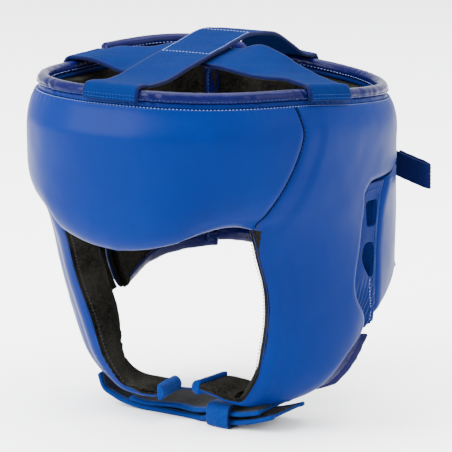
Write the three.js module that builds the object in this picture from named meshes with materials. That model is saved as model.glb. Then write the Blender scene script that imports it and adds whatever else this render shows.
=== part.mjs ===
import * as THREE from 'three';

// Boxing headgear, in millimetres. X runs to the wearer's left, -Y to the front and Z up.
// The origin lies on the floor under the head's axis, on the flat underside of the chin strap.

// Clearance between neighbouring pieces, between pad and lining, and along the brow's curved seam
const CLEARANCE = 0.3;
const LAYER_CLEARANCE = 0.5;
const SEAM_CLEARANCE = 0.7;

// How far the lining stays back from the ear recess, and the gap round the ear panel
const LINING_RETREAT = 2;
const PANEL_GAP = 0.8;

// Outer form of the padded ring, seen from above
const HALF_WIDTH = 103;
const FRONT_REACH = 131;
const BACK_REACH = 116;
const PLAN_POWER = 2.3;

// Heights
const PAD_TOP = 209;
const RIM_SKIRT = 3.2;
const RIM_BINDING = 6;
const NECK_HEIGHT = 84;

// Thicknesses of the padding, the lining and the leather
const BROW_PAD = 25;
const SIDE_PAD = 13;
const BACK_PAD = 12;
const WING_PAD = 8;
const INNER_WING_PAD = 6;
const LINING = 7.5;
const WING_LINING = 5;
const LEATHER = 3;
const RIM_THICKNESS = 6;

// How far from its edge a pad is rounded
const BROW_ROUNDING = 19;
const CORNER_ROUNDING = 8;
const EDGE_ROUNDING = 10;
const REAR_ROUNDING = 5;

// How far from the cheek's front edge its pad is thinner, and its share of thickness there
const ROLL_WIDTH = 14;
const ROLL_SHARE = 0.42;

// Angles round the head in degrees, 0 at the front and 90 at the ears
const ARM_END_LEFT = 126;
const ARM_END_RIGHT = 104;
const WING_GAP = 2;
const OUTER_WING_END = 360 - ARM_END_RIGHT - WING_GAP;
const INNER_WING_END = 150;
const WING_OUTSET = 5;

// How far the free end of each cheek flap is turned up over the chin strap
const CHIN_LIFT_LEFT = 8;
const CHIN_LIFT_RIGHT = 1;

// Straps, and where the crown straps pass the rim: the angle of each one's middle
const CROWN_WIDTH = 38;
const CROWN_THICKNESS = 2.4;
const LONG_FRONT_ANGLE = -1;
const LONG_REAR_ANGLE = 184.5;
const CROSS_LEFT_ANGLE = 70.5;
const CROSS_RIGHT_ANGLE = -90;
const LONG_SLACK = 0.6;
const CROSS_SLACK = 0.8;
const CHIN_WIDTH = 42;
const CHIN_THICKNESS = 2.6;
const JAW_STRIP = 2.6;
const KEEPER_WIDTH = 17;
const KEEPER_THICKNESS = 1.8;
const KEEPER_PLACE = 24;
const KEEPER_EASE = 2.4;

// Binding over the free end of each cheek flap, as a share of PAD_TOP along the flap
const TAB_LENGTH = 0.045;
const TAB_COVER = 0.9;

// Ribbed pull loop sewn to the back wing
const LOOP_WIDTH = 15;
const LOOP_THICKNESS = 1.6;
const LOOP_REACH = 24;
const LOOP_ANGLE = 138.5;
const LOOP_HEIGHT = 148;
const LOOP_DROOP = 8;

// The outer skin from the rim down the side and round under the jaw, a row for each section.
// run: way down from the stitch line, a share of PAD_TOP; level: height, a share of PAD_TOP;
// half, front and back: shares of HALF_WIDTH, FRONT_REACH and BACK_REACH;
// power: how square the plan is in front; from: angle of the front edge; to: angle of the ear
// recess; pad and lining: shares of thickness; cushion: extra lining behind the cheek's front edge.
const SECTIONS = [
  { run: 0.00, level: 1.000, half: 0.958, front: 0.949, power: 2.30, back: 0.966,
    from: 54.5, to: 90.0, pad: 0.66, lining: 1.0, cushion: 0 },
  { run: 0.03, level: 0.970, half: 0.985, front: 0.978, power: 2.30, back: 0.986,
    from: 55.6, to: 90.0, pad: 0.88, lining: 1.0, cushion: 0 },
  { run: 0.08, level: 0.920, half: 1.000, front: 0.998, power: 2.30, back: 1.000,
    from: 56.8, to: 90.0, pad: 1.00, lining: 1.0, cushion: 0 },
  { run: 0.17, level: 0.830, half: 1.000, front: 1.000, power: 2.30, back: 1.000,
    from: 53.5, to: 90.0, pad: 1.00, lining: 1.0, cushion: 0 },
  { run: 0.25, level: 0.750, half: 1.000, front: 0.975, power: 2.30, back: 1.000,
    from: 48.6, to: 90.0, pad: 1.00, lining: 1.0, cushion: 0 },
  { run: 0.31, level: 0.690, half: 1.000, front: 0.892, power: 2.28, back: 1.000,
    from: 44.4, to: 90.0, pad: 1.00, lining: 1.0, cushion: 0 },
  { run: 0.35, level: 0.650, half: 1.000, front: 0.821, power: 2.22, back: 1.000,
    from: 41.6, to: 89.9, pad: 1.00, lining: 1.0, cushion: 0.05 },
  { run: 0.45, level: 0.550, half: 1.000, front: 0.746, power: 2.00, back: 1.000,
    from: 44.0, to: 87.4, pad: 1.00, lining: 1.0, cushion: 0.3 },
  { run: 0.55, level: 0.450, half: 0.998, front: 0.689, power: 1.86, back: 0.990,
    from: 48.1, to: 85.0, pad: 1.00, lining: 1.0, cushion: 0.5 },
  { run: 0.61, level: 0.390, half: 0.990, front: 0.652, power: 1.80, back: 0.980,
    from: 49.6, to: 86.9, pad: 1.00, lining: 1.0, cushion: 0.5 },
  { run: 0.67, level: 0.330, half: 0.970, front: 0.607, power: 1.78, back: 0.960,
    from: 50.2, to: 94.0, pad: 1.00, lining: 1.0, cushion: 0.5 },
  { run: 0.72, level: 0.280, half: 0.945, front: 0.575, power: 1.78, back: 0.940,
    from: 50.1, to: 95.8, pad: 1.00, lining: 1.0, cushion: 0.45 },
  { run: 0.77, level: 0.230, half: 0.910, front: 0.552, power: 1.80, back: 0.920,
    from: 49.7, to: 92.8, pad: 0.95, lining: 1.0, cushion: 0.35 },
  { run: 0.84, level: 0.165, half: 0.850, front: 0.507, power: 1.90, back: 0.900,
    from: 48.8, to: 88.0, pad: 0.85, lining: 0.9, cushion: 0.2 },
  { run: 0.91, level: 0.110, half: 0.745, front: 0.457, power: 2.05, back: 0.900,
    from: 46.0, to: 86.0, pad: 0.68, lining: 0.8, cushion: 0.05 },
  { run: 0.98, level: 0.074, half: 0.600, front: 0.442, power: 2.20, back: 0.900,
    from: 43.0, to: 80.0, pad: 0.50, lining: 0.66, cushion: 0 },
  { run: 1.06, level: 0.060, half: 0.437, front: 0.460, power: 2.30, back: 0.900,
    from: 36.5, to: 68.0, pad: 0.38, lining: 0.56, cushion: 0 },
  { run: 1.13, level: 0.060, half: 0.300, front: 0.510, power: 2.30, back: 0.900,
    from: 27.0, to: 58.0, pad: 0.32, lining: 0.5, cushion: 0 },
  { run: 1.19, level: 0.064, half: 0.185, front: 0.510, power: 2.30, back: 0.900,
    from: 16.5, to: 41.0, pad: 0.28, lining: 0.45, cushion: 0 },
  { run: 1.25, level: 0.066, half: 0.105, front: 0.510, power: 2.30, back: 0.900,
    from: 9.3, to: 23.6, pad: 0.28, lining: 0.45, cushion: 0 },
];

// Lower edge of the brow pad. along: share of the way from the middle to the seam;
// level: share of PAD_TOP.
const BROW_LINE = [
  { along: 0.00, level: 0.582 },
  { along: 0.22, level: 0.593 },
  { along: 0.50, level: 0.621 },
  { along: 0.75, level: 0.648 },
  { along: 0.88, level: 0.652 },
  { along: 1.00, level: 0.638 },
];

// Lower edge of the side pad's arm over the ear. angle: degrees; run: share of PAD_TOP.
const ARM_LINE = [
  { angle: 90, run: 0.310 },
  { angle: 93, run: 0.290 },
  { angle: 96, run: 0.281 },
  { angle: 106, run: 0.282 },
  { angle: 114, run: 0.281 },
  { angle: 126, run: 0.270 },
];

// Front edge of the back wings under the arm. run: share of PAD_TOP; angle: degrees.
const WING_LINE = [
  { run: 0.287, angle: 107.6 },
  { run: 0.305, angle: 106.2 },
  { run: 0.340, angle: 102.2 },
  { run: 0.400, angle: 99.8 },
  { run: 0.485, angle: 98.7 },
  { run: 0.592, angle: 99.0 },
  { run: 0.650, angle: 101.0 },
  { run: 0.703, angle: 103.2 },
];

// Height of the rim all round, as a drop below its front. angle: degrees;
// drop: share of PAD_TOP. Past 190 degrees the outer wing stands up again.
const RIM_LINE = [
  { angle: -150, drop: 0.040 },
  { angle: -103, drop: 0.030 },
  { angle: -76, drop: 0.026 },
  { angle: -30, drop: 0.004 },
  { angle: 0, drop: 0.000 },
  { angle: 25, drop: 0.004 },
  { angle: 57, drop: 0.014 },
  { angle: 84, drop: 0.041 },
  { angle: 104, drop: 0.058 },
  { angle: 130, drop: 0.078 },
  { angle: 150, drop: 0.078 },
  { angle: 172, drop: 0.066 },
  { angle: 195, drop: 0.040 },
  { angle: 220, drop: 0.003 },
  { angle: 254, drop: 0.004 },
];

// Neck edge, behind the ears. angle: degrees; level: share of NECK_HEIGHT.
const NECK_LINE = [
  { angle: 97, level: 0.73 },
  { angle: 104, level: 0.74 },
  { angle: 111, level: 0.81 },
  { angle: 120, level: 0.90 },
  { angle: 130, level: 0.95 },
  { angle: 150, level: 0.99 },
  { angle: 180, level: 1.00 },
  { angle: 254, level: 1.00 },
];

// Sides of the vents in the ear panel. run: share of PAD_TOP; from and to: degrees.
// The upper vent lies between the first two rows and the lower one below the third.
const VENT_LINE = [
  { run: 0.335, from: 93.2, to: 99.9 },
  { run: 0.410, from: 92.9, to: 98.2 },
  { run: 0.455, from: 91.2, to: 97.2 },
  { run: 0.510, from: 90.5, to: 97.1 },
  { run: 0.560, from: 94.0, to: 96.9 },
];

// Bound strip behind the lower edge of the cheek. run: share of PAD_TOP;
// reach: degrees that it stands out behind the pad.
const JAW_LINE = [
  { run: 0.76, reach: 6.0 },
  { run: 0.80, reach: 8.0 },
  { run: 0.86, reach: 8.5 },
  { run: 0.91, reach: 8.0 },
  { run: 0.96, reach: 4.5 },
];

// Upper face of the long crown strap between its ends on the rim.
// reach: way back from the middle of the head, a share of FRONT_REACH in front and
// BACK_REACH behind; level: share of PAD_TOP.
const LONG_LINE = [
  { reach: -0.79, level: 1.052 },
  { reach: -0.64, level: 1.052 },
  { reach: -0.46, level: 1.068 },
  { reach: -0.29, level: 1.083 },
  { reach: -0.14, level: 1.093 },
  { reach: 0.02, level: 1.107 },
  { reach: 0.15, level: 1.116 },
  { reach: 0.33, level: 1.108 },
  { reach: 0.49, level: 1.092 },
  { reach: 0.65, level: 1.052 },
  { reach: 0.79, level: 1.014 },
];

// Upper face of the cross strap, which sags and twists. across: share of HALF_WIDTH;
// front and rear: heights of its two edges, shares of PAD_TOP.
const CROSS_LINE = [
  { across: 0.80, front: 1.047, rear: 1.030 },
  { across: 0.70, front: 1.054, rear: 1.042 },
  { across: 0.58, front: 1.050, rear: 1.064 },
  { across: 0.46, front: 1.050, rear: 1.088 },
  { across: 0.34, front: 1.055, rear: 1.104 },
  { across: 0.25, front: 1.060, rear: 1.100 },
  { across: 0.16, front: 1.063, rear: 1.086 },
  { across: 0.00, front: 1.064, rear: 1.086 },
  { across: -0.20, front: 1.056, rear: 1.082 },
  { across: -0.30, front: 1.042, rear: 1.085 },
  { across: -0.40, front: 1.020, rear: 1.072 },
  { across: -0.52, front: 1.010, rear: 1.058 },
  { across: -0.64, front: 1.024, rear: 1.052 },
  { across: -0.76, front: 1.034, rear: 1.046 },
];

// Chin straps. across: share of HALF_WIDTH to the wearer's left; level: height of the
// upper face, in thicknesses of the strap; middle: how far its middle lies in front
// of the head's axis, a share of CHIN_WIDTH; skew: how much farther to the right its
// rear edge lies than its front edge, a share of HALF_WIDTH.
const LOWER_STRAP = [
  { across: -0.645, level: 7.6, middle: 0.20, skew: 0.15 },
  { across: -0.617, level: 4.5, middle: 0.19, skew: 0.12 },
  { across: -0.570, level: 3.3, middle: 0.18, skew: 0.08 },
  { across: -0.510, level: 2.2, middle: 0.17, skew: 0.04 },
  { across: -0.420, level: 1.3, middle: 0.16, skew: 0 },
  { across: -0.350, level: 1.0, middle: 0.16, skew: 0 },
  { across: -0.250, level: 1.0, middle: 0.18, skew: 0 },
  { across: 0.00, level: 1.0, middle: 0.27, skew: 0 },
  { across: 0.06, level: 1.0, middle: 0.32, skew: 0 },
  { across: 0.10, level: 1.4, middle: 0.36, skew: 0 },
  { across: 0.14, level: 1.85, middle: 0.39, skew: 0 },
  { across: 0.24, level: 1.9, middle: 0.46, skew: 0 },
  { across: 0.33, level: 1.95, middle: 0.49, skew: 0 },
  { across: 0.42, level: 2.5, middle: 0.50, skew: 0 },
  { across: 0.52, level: 3.5, middle: 0.49, skew: 0 },
  { across: 0.58, level: 4.3, middle: 0.48, skew: 0 },
];
const UPPER_STRAP = [
  { across: -0.45, level: 2.9, middle: 0.16, skew: 0 },
  { across: -0.35, level: 2.3, middle: 0.17, skew: 0 },
  { across: -0.20, level: 2.7, middle: 0.20, skew: 0 },
  { across: -0.10, level: 3.0, middle: 0.24, skew: 0 },
  { across: 0.02, level: 2.8, middle: 0.29, skew: 0 },
  { across: 0.14, level: 3.6, middle: 0.38, skew: 0 },
  { across: 0.24, level: 3.9, middle: 0.46, skew: 0 },
  { across: 0.36, level: 4.1, middle: 0.50, skew: 0 },
  { across: 0.46, level: 4.8, middle: 0.50, skew: 0 },
  { across: 0.50, level: 5.2, middle: 0.50, skew: 0 },
];

const BLUE = 0x1c4fb0;
const NAVY = 0x1a2288;
const STRAP_BLUE = 0x2a55b5;
const SUEDE = 0x44443c;

// Value of a column at a key, smoothly between the rows of a table.
function read(table, key, at, column) {
  const last = table.length - 1;
  let i = 0;
  while (i < last - 1 && at > table[i + 1][key]) {
    i += 1;
  }
  const a = table[i];
  const b = table[i + 1];
  const span = b[key] - a[key];
  const t = THREE.MathUtils.clamp((at - a[key]) / span, 0, 1);
  const before = table[Math.max(i - 1, 0)];
  const after = table[Math.min(i + 2, last)];
  const slopeA = (b[column] - before[column]) / (b[key] - before[key]);
  const slopeB = (after[column] - a[column]) / (after[key] - a[key]);
  const h = t * t * (3 - 2 * t);
  const out = span * slopeA * t * (1 - t) * (1 - t);
  const back = span * slopeB * t * t * (t - 1);
  return a[column] * (1 - h) + b[column] * h + out + back;
}

const ease = (from, to, value) => THREE.MathUtils.smoothstep(value, from, to);
const mix = THREE.MathUtils.lerp;

// Point of the outer skin at an angle and a run down from the stitch line.
function skin(angle, run) {
  const turn = THREE.MathUtils.degToRad(angle);
  const section = (column) => read(SECTIONS, 'run', run, column);
  const side = Math.abs(angle);
  const seam = section('from');
  const brow = 1 - 0.051 * (1 - ease(0, 0.09, run));
  const front = mix(brow, section('front'), ease(0.45 * seam, seam, side)) * FRONT_REACH;
  const half = section('half') * HALF_WIDTH;
  const back = section('back') * BACK_REACH;
  const depth = Math.cos(turn) > 0 ? front : back;
  const across = Math.abs(Math.sin(turn)) / half;
  const along = Math.abs(Math.cos(turn)) / depth;
  const toCheek = Math.cos(turn) > 0 ? ease(0.45 * seam, seam, side) : 0;
  const power = mix(PLAN_POWER, section('power'), toCheek);
  const radius = (across ** power + along ** power) ** (-1 / power);
  const drop = read(RIM_LINE, 'angle', angle, 'drop') * (1 - ease(0, 0.3, run));
  const lift = (angle > 0 ? CHIN_LIFT_LEFT : CHIN_LIFT_RIGHT) * ease(0.98, 1.19, run);
  const height = (section('level') - drop) * PAD_TOP + lift;
  return new THREE.Vector3(radius * Math.sin(turn), -radius * Math.cos(turn), height);
}

// Outward direction of the skin, level on the upright walls and square to it under the jaw.
function outward(angle, run) {
  const along = skin(angle + 0.5, run).sub(skin(angle - 0.5, run));
  const down = skin(angle, run + 0.004).sub(skin(angle, Math.max(run - 0.004, 0)));
  const normal = down.cross(along).normalize();
  normal.z *= ease(0.6, 0.85, run);
  return normal.normalize();
}

// Point under the skin by a depth.
function under(angle, run, depth) {
  return skin(angle, run).addScaledVector(outward(angle, run), -depth);
}

// Value between the points of a line that runs straight from one to the next.
function straight(line, key, at, column) {
  const i = THREE.MathUtils.clamp(line.findIndex((point) => point[key] > at), 1, line.length - 1);
  const share = (at - line[i - 1][key]) / (line[i][key] - line[i - 1][key]);
  return mix(line[i - 1][column], line[i][column], THREE.MathUtils.clamp(share, 0, 1));
}

// Closed solid between two grids of points. keep says which cells exist.
function slab(name, look, outer, inner, keep = () => true) {
  const rows = outer.length;
  const columns = outer[0].length;
  const index = new Map();
  const points = [];
  const corner = (grid, side, j, i) => {
    const key = `${side} ${j} ${i}`;
    if (!index.has(key)) {
      index.set(key, points.length / 3);
      points.push(grid[j][i].x, grid[j][i].y, grid[j][i].z);
    }
    return index.get(key);
  };
  const top = (j, i) => corner(outer, 'outer', j, i);
  const base = (j, i) => corner(inner, 'inner', j, i);
  const faces = [];
  const quad = (a, b, c, d) => faces.push(a, b, c, a, c, d);
  const present = (j, i) => j >= 0 && i >= 0 && j < rows - 1 && i < columns - 1 && keep(j, i);
  for (let j = 0; j < rows - 1; j += 1) {
    for (let i = 0; i < columns - 1; i += 1) {
      if (!present(j, i)) continue;
      quad(top(j, i), top(j + 1, i), top(j + 1, i + 1), top(j, i + 1));
      quad(base(j, i), base(j, i + 1), base(j + 1, i + 1), base(j + 1, i));
      if (!present(j - 1, i)) quad(top(j, i), top(j, i + 1), base(j, i + 1), base(j, i));
      if (!present(j + 1, i)) quad(top(j + 1, i + 1), top(j + 1, i), base(j + 1, i), base(j + 1, i + 1));
      if (!present(j, i - 1)) quad(top(j + 1, i), top(j, i), base(j, i), base(j + 1, i));
      if (!present(j, i + 1)) quad(top(j, i + 1), top(j + 1, i + 1), base(j + 1, i + 1), base(j, i + 1));
    }
  }
  return solid(name, look, points, faces);
}

// Mesh of the given triangles, turned so that they face out.
function solid(name, look, points, faces) {
  const at = (k) => new THREE.Vector3(...points.slice(3 * k, 3 * k + 3));
  let volume = 0;
  for (let f = 0; f < faces.length; f += 3) {
    volume += at(faces[f]).dot(at(faces[f + 1]).cross(at(faces[f + 2])));
  }
  if (volume < 0) {
    faces.reverse();
  }
  const geometry = new THREE.BufferGeometry();
  geometry.setAttribute('position', new THREE.Float32BufferAttribute(points, 3));
  geometry.setIndex(faces);
  geometry.computeVertexNormals();
  const material = new THREE.MeshStandardMaterial({ color: look.colour, roughness: look.roughness, metalness: 0 });
  const mesh = new THREE.Mesh(geometry, material);
  mesh.name = name;
  return mesh;
}

const LEATHER_LOOK = { colour: BLUE, roughness: 0.42 };
const BINDING_LOOK = { colour: NAVY, roughness: 0.3 };
const STRAP_LOOK = { colour: STRAP_BLUE, roughness: 0.8 };
const SUEDE_LOOK = { colour: SUEDE, roughness: 0.95 };

// Stations from 0 to 1, closer together at both ends.
function stations(count) {
  return Array.from({ length: count + 1 }, (_, k) => {
    const t = k / count;
    return t - 0.75 * Math.sin(2 * Math.PI * t) / (2 * Math.PI);
  });
}

const even = (count) => Array.from({ length: count + 1 }, (_, k) => k / count);

// Share of full thickness at a way in from an edge.
const rounding = (way, reach) => Math.sqrt(1 - (1 - THREE.MathUtils.clamp(way / reach, 0, 1)) ** 2);

// Angle that a width takes on the skin.
const angleOf = (width, radius = HALF_WIDTH) => THREE.MathUtils.radToDeg(width / radius);

// A padded panel of the wall: pad outside, lining inside, cut to the same outline.
function layered(panelWith, deep, outset) {
  const panel = panelWith(0);
  const shorter = panelWith(LINING_RETREAT);
  const grid = ({ place, spots }, depth) => spots.map((row) => row.map((spot) => {
    const { angle, run, edge } = place(spot);
    return under(angle, run, depth(angle, run, edge) - outset(angle));
  }));
  const padUnder = (angle, run) => deep(angle, run).pad;
  const drop = (angle, run, edge) => padUnder(angle, run) * (1 - edge);
  const liningOver = (angle, run) => padUnder(angle, run) + LAYER_CLEARANCE;
  const liningUnder = (angle, run) => liningOver(angle, run) + deep(angle, run).lining;
  return {
    pad: (name) => slab(name, LEATHER_LOOK, grid(panel, drop), grid(panel, padUnder), panel.keep),
    lining: (name) => slab(
      name, SUEDE_LOOK, grid(shorter, liningOver), grid(shorter, liningUnder), shorter.keep,
    ),
  };
}

const pairs = (rows, columns) => rows.map((v) => columns.map((u) => ({ u, v })));

// Brow pad: from seam to seam over the forehead.
const SEAM_RUNS = [0, 0.025, 0.06, 0.11, 0.17, 0.23, 0.28, 0.31, 0.335, 0.362];
const BROW_END = SEAM_RUNS[SEAM_RUNS.length - 1];
const BROW_EDGE = 0.58;
const CORNER_EDGE = 0.82;
const SEAM_EDGE = 0.86;
const CHEEK_EDGE = 0.4;
const REAR_EDGE = 0.75;

function browPanel() {
  const place = ({ u, v }) => {
    const side = 2 * u - 1;
    const lowest = 1 - read(BROW_LINE, 'along', Math.abs(side), 'level');
    const seam = read(SECTIONS, 'run', v * BROW_END, 'from') - angleOf(SEAM_CLEARANCE);
    const angle = side * seam;
    const run = v * lowest;
    const toBrow = (1 - v) * lowest * PAD_TOP;
    const toSeam = (1 - Math.abs(side)) * seam * HALF_WIDTH * Math.PI / 180;
    const corner = ease(0.6, 1, Math.abs(side));
    const browEdge = mix(BROW_EDGE, CORNER_EDGE, corner);
    const reach = mix(BROW_ROUNDING, CORNER_ROUNDING, corner);
    const low = mix(browEdge, 1, rounding(toBrow, reach));
    const seamed = mix(SEAM_EDGE, 1, rounding(toSeam, EDGE_ROUNDING));
    return { angle, run, edge: Math.min(low, seamed) };
  };
  return { place, spots: pairs(SEAM_RUNS.map((run) => run / BROW_END), stations(16)) };
}

const facing = (angle) => Math.max(Math.cos(THREE.MathUtils.degToRad(angle)), 0) ** 2;
const browDepth = (angle, run) => ({
  pad: mix(SIDE_PAD, BROW_PAD, facing(angle)) * read(SECTIONS, 'run', run, 'pad'),
  lining: LINING,
});

// Side pad: from the seam over the cheek and under the jaw, with an arm over the ear.
const SPLIT_RUN = ARM_LINE[0].run;
const SIDE_COLUMNS = 8;
const ARM_COLUMNS = 6;
const SIDE_RUNS = [
  ...SEAM_RUNS, 0.41, 0.455, 0.51, 0.56, 0.59, 0.615, 0.64, 0.67,
  0.7, 0.73, 0.76, 0.8, 0.84, 0.88, 0.92, 0.96, 1.0, 1.05, 1.1, 1.15, 1.19,
];

function sidePanel(side, armEnd, retreat) {
  const columns = stations(SIDE_COLUMNS).concat(even(ARM_COLUMNS).slice(1).map((w) => 1 + w));
  const place = ({ u, v }) => {
    const seam = v < BROW_END ? angleOf(SEAM_CLEARANCE) : 0;
    const from = read(SECTIONS, 'run', v, 'from') + seam;
    const to = read(SECTIONS, 'run', v, 'to') - angleOf(retreat) * (1 - ease(0.93, 1.02, v));
    const radius = Math.hypot(skin(to, v).x, skin(to, v).y) * Math.PI / 180;
    let angle = mix(from, to, Math.min(u, 1));
    let run = v;
    let way = Math.min(u, 1 - u) * (to - from) * radius;
    let share = v > BROW_END ? CHEEK_EDGE : SEAM_EDGE;
    let reach = v > BROW_END ? EDGE_ROUNDING : EDGE_ROUNDING / 2;
    if (u > 0.5) {
      share = REAR_EDGE;
      reach = REAR_ROUNDING;
    }
    if (v < SPLIT_RUN && u > 0.5) {
      way = EDGE_ROUNDING;
    }
    if (u > 1) {
      angle = mix(to, armEnd, u - 1);
      const lowest = read(ARM_LINE, 'angle', angle, 'run') - retreat / PAD_TOP;
      run = v * lowest / SPLIT_RUN;
      const toLow = (lowest - run) * PAD_TOP;
      const toEnd = (armEnd - angle) * radius;
      way = Math.min(toLow, toEnd);
    }
    return { angle: side * angle, run, edge: mix(share, 1, rounding(way, reach)) };
  };
  const keep = (j, i) => i < SIDE_COLUMNS || SIDE_RUNS[j] < SPLIT_RUN;
  return { place, spots: pairs(SIDE_RUNS, columns), keep };
}

// The cheek's pad is thin where it rolls over the front edge, and the lining fills it there.
const sideDepth = (angle, run) => {
  const section = (column) => read(SECTIONS, 'run', run, column);
  const side = Math.abs(angle);
  const full = mix(SIDE_PAD, BROW_PAD, facing(angle) * (1 - ease(0.25, 0.45, run))) * section('pad');
  const way = (side - section('from')) * HALF_WIDTH * Math.PI / 180;
  const rolled = ease(0.34, 0.42, run) * (1 - ease(0.92, 1.05, run));
  const pad = full * mix(1, mix(ROLL_SHARE, 1, rounding(way, ROLL_WIDTH)), rolled);
  const cushion = section('cushion') * (1 - ease(60, 80, side));
  return { pad, lining: full - pad + LINING * (section('lining') + cushion) };
};

// Back wing: from the ear round the back to a free end.
const WING_STEP = 12;
const WING_ROWS = [0, 0.1, 0.2, 0.29, 0.38, 0.505, 0.675, 0.81, 0.9, 0.95, 1];
const WING_SPLIT = 3;
const WING_CORNER = 1;

function wingPanel(side, armEnd, end, retreat) {
  const tail = armEnd + angleOf(CLEARANCE) + 0.2;
  const inset = 4;
  const count = Math.round((end - tail) / WING_STEP);
  const columns = even(inset).map((w) => w - 1).concat(even(count).slice(1));
  const joined = WING_ROWS[WING_SPLIT];
  const place = ({ u, v }) => {
    let angle = mix(tail, end, Math.max(u, 0));
    const lowest = (value) => 1 - read(NECK_LINE, 'angle', value, 'level') * NECK_HEIGHT / PAD_TOP;
    let run = v * lowest(angle);
    if (u < 0) {
      const share = (v - joined) / (1 - joined);
      const level = mix(WING_LINE[0].run, WING_LINE[WING_LINE.length - 1].run, share);
      const front = Math.min(read(WING_LINE, 'run', level, 'angle'), tail - WING_CORNER) + angleOf(retreat);
      angle = mix(tail, Math.min(front, tail - WING_CORNER / 2), -u);
      const armRun = read(ARM_LINE, 'angle', angle, 'run') + 0.004;
      run = mix(armRun, lowest(angle), share);
    } else {
      const armRun = read(ARM_LINE, 'angle', Math.min(tail, ARM_END_LEFT), 'run') + 0.004;
      const near = 1 - ease(0, 0.3, u);
      const bent = v < joined
        ? armRun * v / joined
        : mix(armRun, lowest(angle), (v - joined) / (1 - joined));
      run = mix(run, bent, near);
    }
    const toNeck = (lowest(angle) - run) * PAD_TOP;
    const toEnd = (end - angle) * HALF_WIDTH * Math.PI / 180;
    const way = Math.min(toNeck, toEnd);
    return { angle: side * angle, run, edge: mix(0.35, 1, rounding(way, EDGE_ROUNDING)) };
  };
  const keep = (j, i) => i >= inset || j >= WING_SPLIT;
  return { place, spots: pairs(WING_ROWS, columns), keep };
}

const OVERLAP_FROM = 190;
const OVERLAP_FULL = 208;
const outerShare = (angle) => ease(OVERLAP_FROM, OVERLAP_FULL, angle);
const outerDepth = (angle, run) => ({
  pad: mix(BACK_PAD, WING_PAD, outerShare(angle)) * read(SECTIONS, 'run', Math.min(run, 0.6), 'pad'),
  lining: mix(LINING, WING_LINING, outerShare(angle)),
});
const innerDepth = () => ({ pad: INNER_WING_PAD, lining: WING_LINING - CLEARANCE });
const INNER_INSET = WING_PAD + WING_LINING - WING_OUTSET + 3 * LAYER_CLEARANCE;

// Ear panel: thin leather between the cheek, the arm over it and the back wing, with two vents.
const EAR_RUNS = SIDE_RUNS.filter((run) => run > SPLIT_RUN && run < 0.74);
const EAR_RISE_FROM = 0.64;
const EAR_RISE = 0.33;
const EAR_SINK = 4.6;
const STRIP_FRONT = 0.25;
const STRIP_REAR = 0.6;

function earPanel(name, side, armEnd, wingEnd, wingSink) {
  const gap = angleOf(PANEL_GAP);
  const rows = [0, ...EAR_RUNS];
  const columns = [0, 0.5, 1, 2, 3];
  const arm = even(ARM_COLUMNS).map((w) => {
    const angle = mix(read(SECTIONS, 'run', SPLIT_RUN, 'to'), armEnd, w);
    return { angle, run: read(ARM_LINE, 'angle', angle, 'run') };
  });
  const wingPlace = wingPanel(side, armEnd, wingEnd, 0).place;
  const wing = WING_ROWS.slice(WING_SPLIT).map((v) => wingPlace({ u: -1, v }));
  const wingAngle = (run) => straight(wing, 'run', run, 'angle') * side;
  const spot = (u, v, sunk) => {
    const level = Math.max(v, SPLIT_RUN);
    const from = read(SECTIONS, 'run', level, 'to') + 1.5 * gap;
    const vent = Math.max(level, VENT_LINE[0].run);
    const rise = EAR_RISE * Math.max(v - EAR_RISE_FROM, 0);
    const last = wingAngle(level - rise) - gap;
    const stops = [
      from,
      Math.max(read(VENT_LINE, 'run', vent, 'from'), mix(from, last, STRIP_FRONT)),
      Math.min(Math.max(read(VENT_LINE, 'run', vent, 'to'), mix(from, last, STRIP_REAR)), last - gap),
      last,
    ];
    const k = Math.min(Math.floor(u), 2);
    const angle = mix(stops[k], stops[k + 1], u - k);
    const share = (angle - from) / (last - from);
    const run = v > 0 ? v - rise * share : straight(arm, 'angle', angle, 'run') + PANEL_GAP / PAD_TOP;
    return under(side * angle, run, mix(EAR_SINK, wingSink, share) + sunk);
  };
  const grid = (sunk) => rows.map((v) => columns.map((u) => spot(u, v, sunk)));
  const vented = (run) => run < VENT_LINE[1].run - 0.001 || run > VENT_LINE[2].run - 0.001;
  const inside = (run) => run > VENT_LINE[0].run - 0.001 && run < VENT_LINE[4].run - 0.001 && vented(run);
  const keep = (j, i) => !(i === 2 && j > 0 && inside(rows[j]));
  return slab(name, LEATHER_LOOK, grid(0), grid(LEATHER), keep);
}

// Point of the rim: height over the stitch line, and depth inward from the rim's middle.
const RIM_INSET = 0.5 * SIDE_PAD * SECTIONS[0].pad + 1;
const RIM_STEP = 7;

function rimPoint(angle, height, depth) {
  const base = skin(angle, 0);
  const side = new THREE.Vector3(base.x, base.y, 0).normalize();
  const inner = INNER_INSET * (1 - ease(-ARM_END_RIGHT - RIM_STEP, -ARM_END_RIGHT + WING_GAP, angle));
  const inset = RIM_INSET + inner - WING_OUTSET * outerShare(angle);
  return base.addScaledVector(side, -inset - depth).add(new THREE.Vector3(0, 0, height));
}

// Rim: a skirt that closes the pads at the top, and a binding folded over it.
const BINDING_SWELL = 1.5;
const RIM_TOP = RIM_SKIRT + CLEARANCE + RIM_BINDING;

function rimBand(name, look, from, to, low, high, thickness, rounded) {
  const steps = Math.round((to - from) / RIM_STEP);
  const sweep = even(steps).map((share) => mix(from, to, share));
  const heights = rounded ? [low, mix(low, high, 0.7), high] : [low, high];
  const half = (height) => (rounded && height === high ? 0.25 : 0.5) * thickness;
  const outer = heights.map((height) => sweep.map((angle) => rimPoint(angle, height, -half(height))));
  const inner = heights.map((height) => sweep.map((angle) => rimPoint(angle, height, half(height))));
  return slab(name, look, outer, inner);
}

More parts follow.
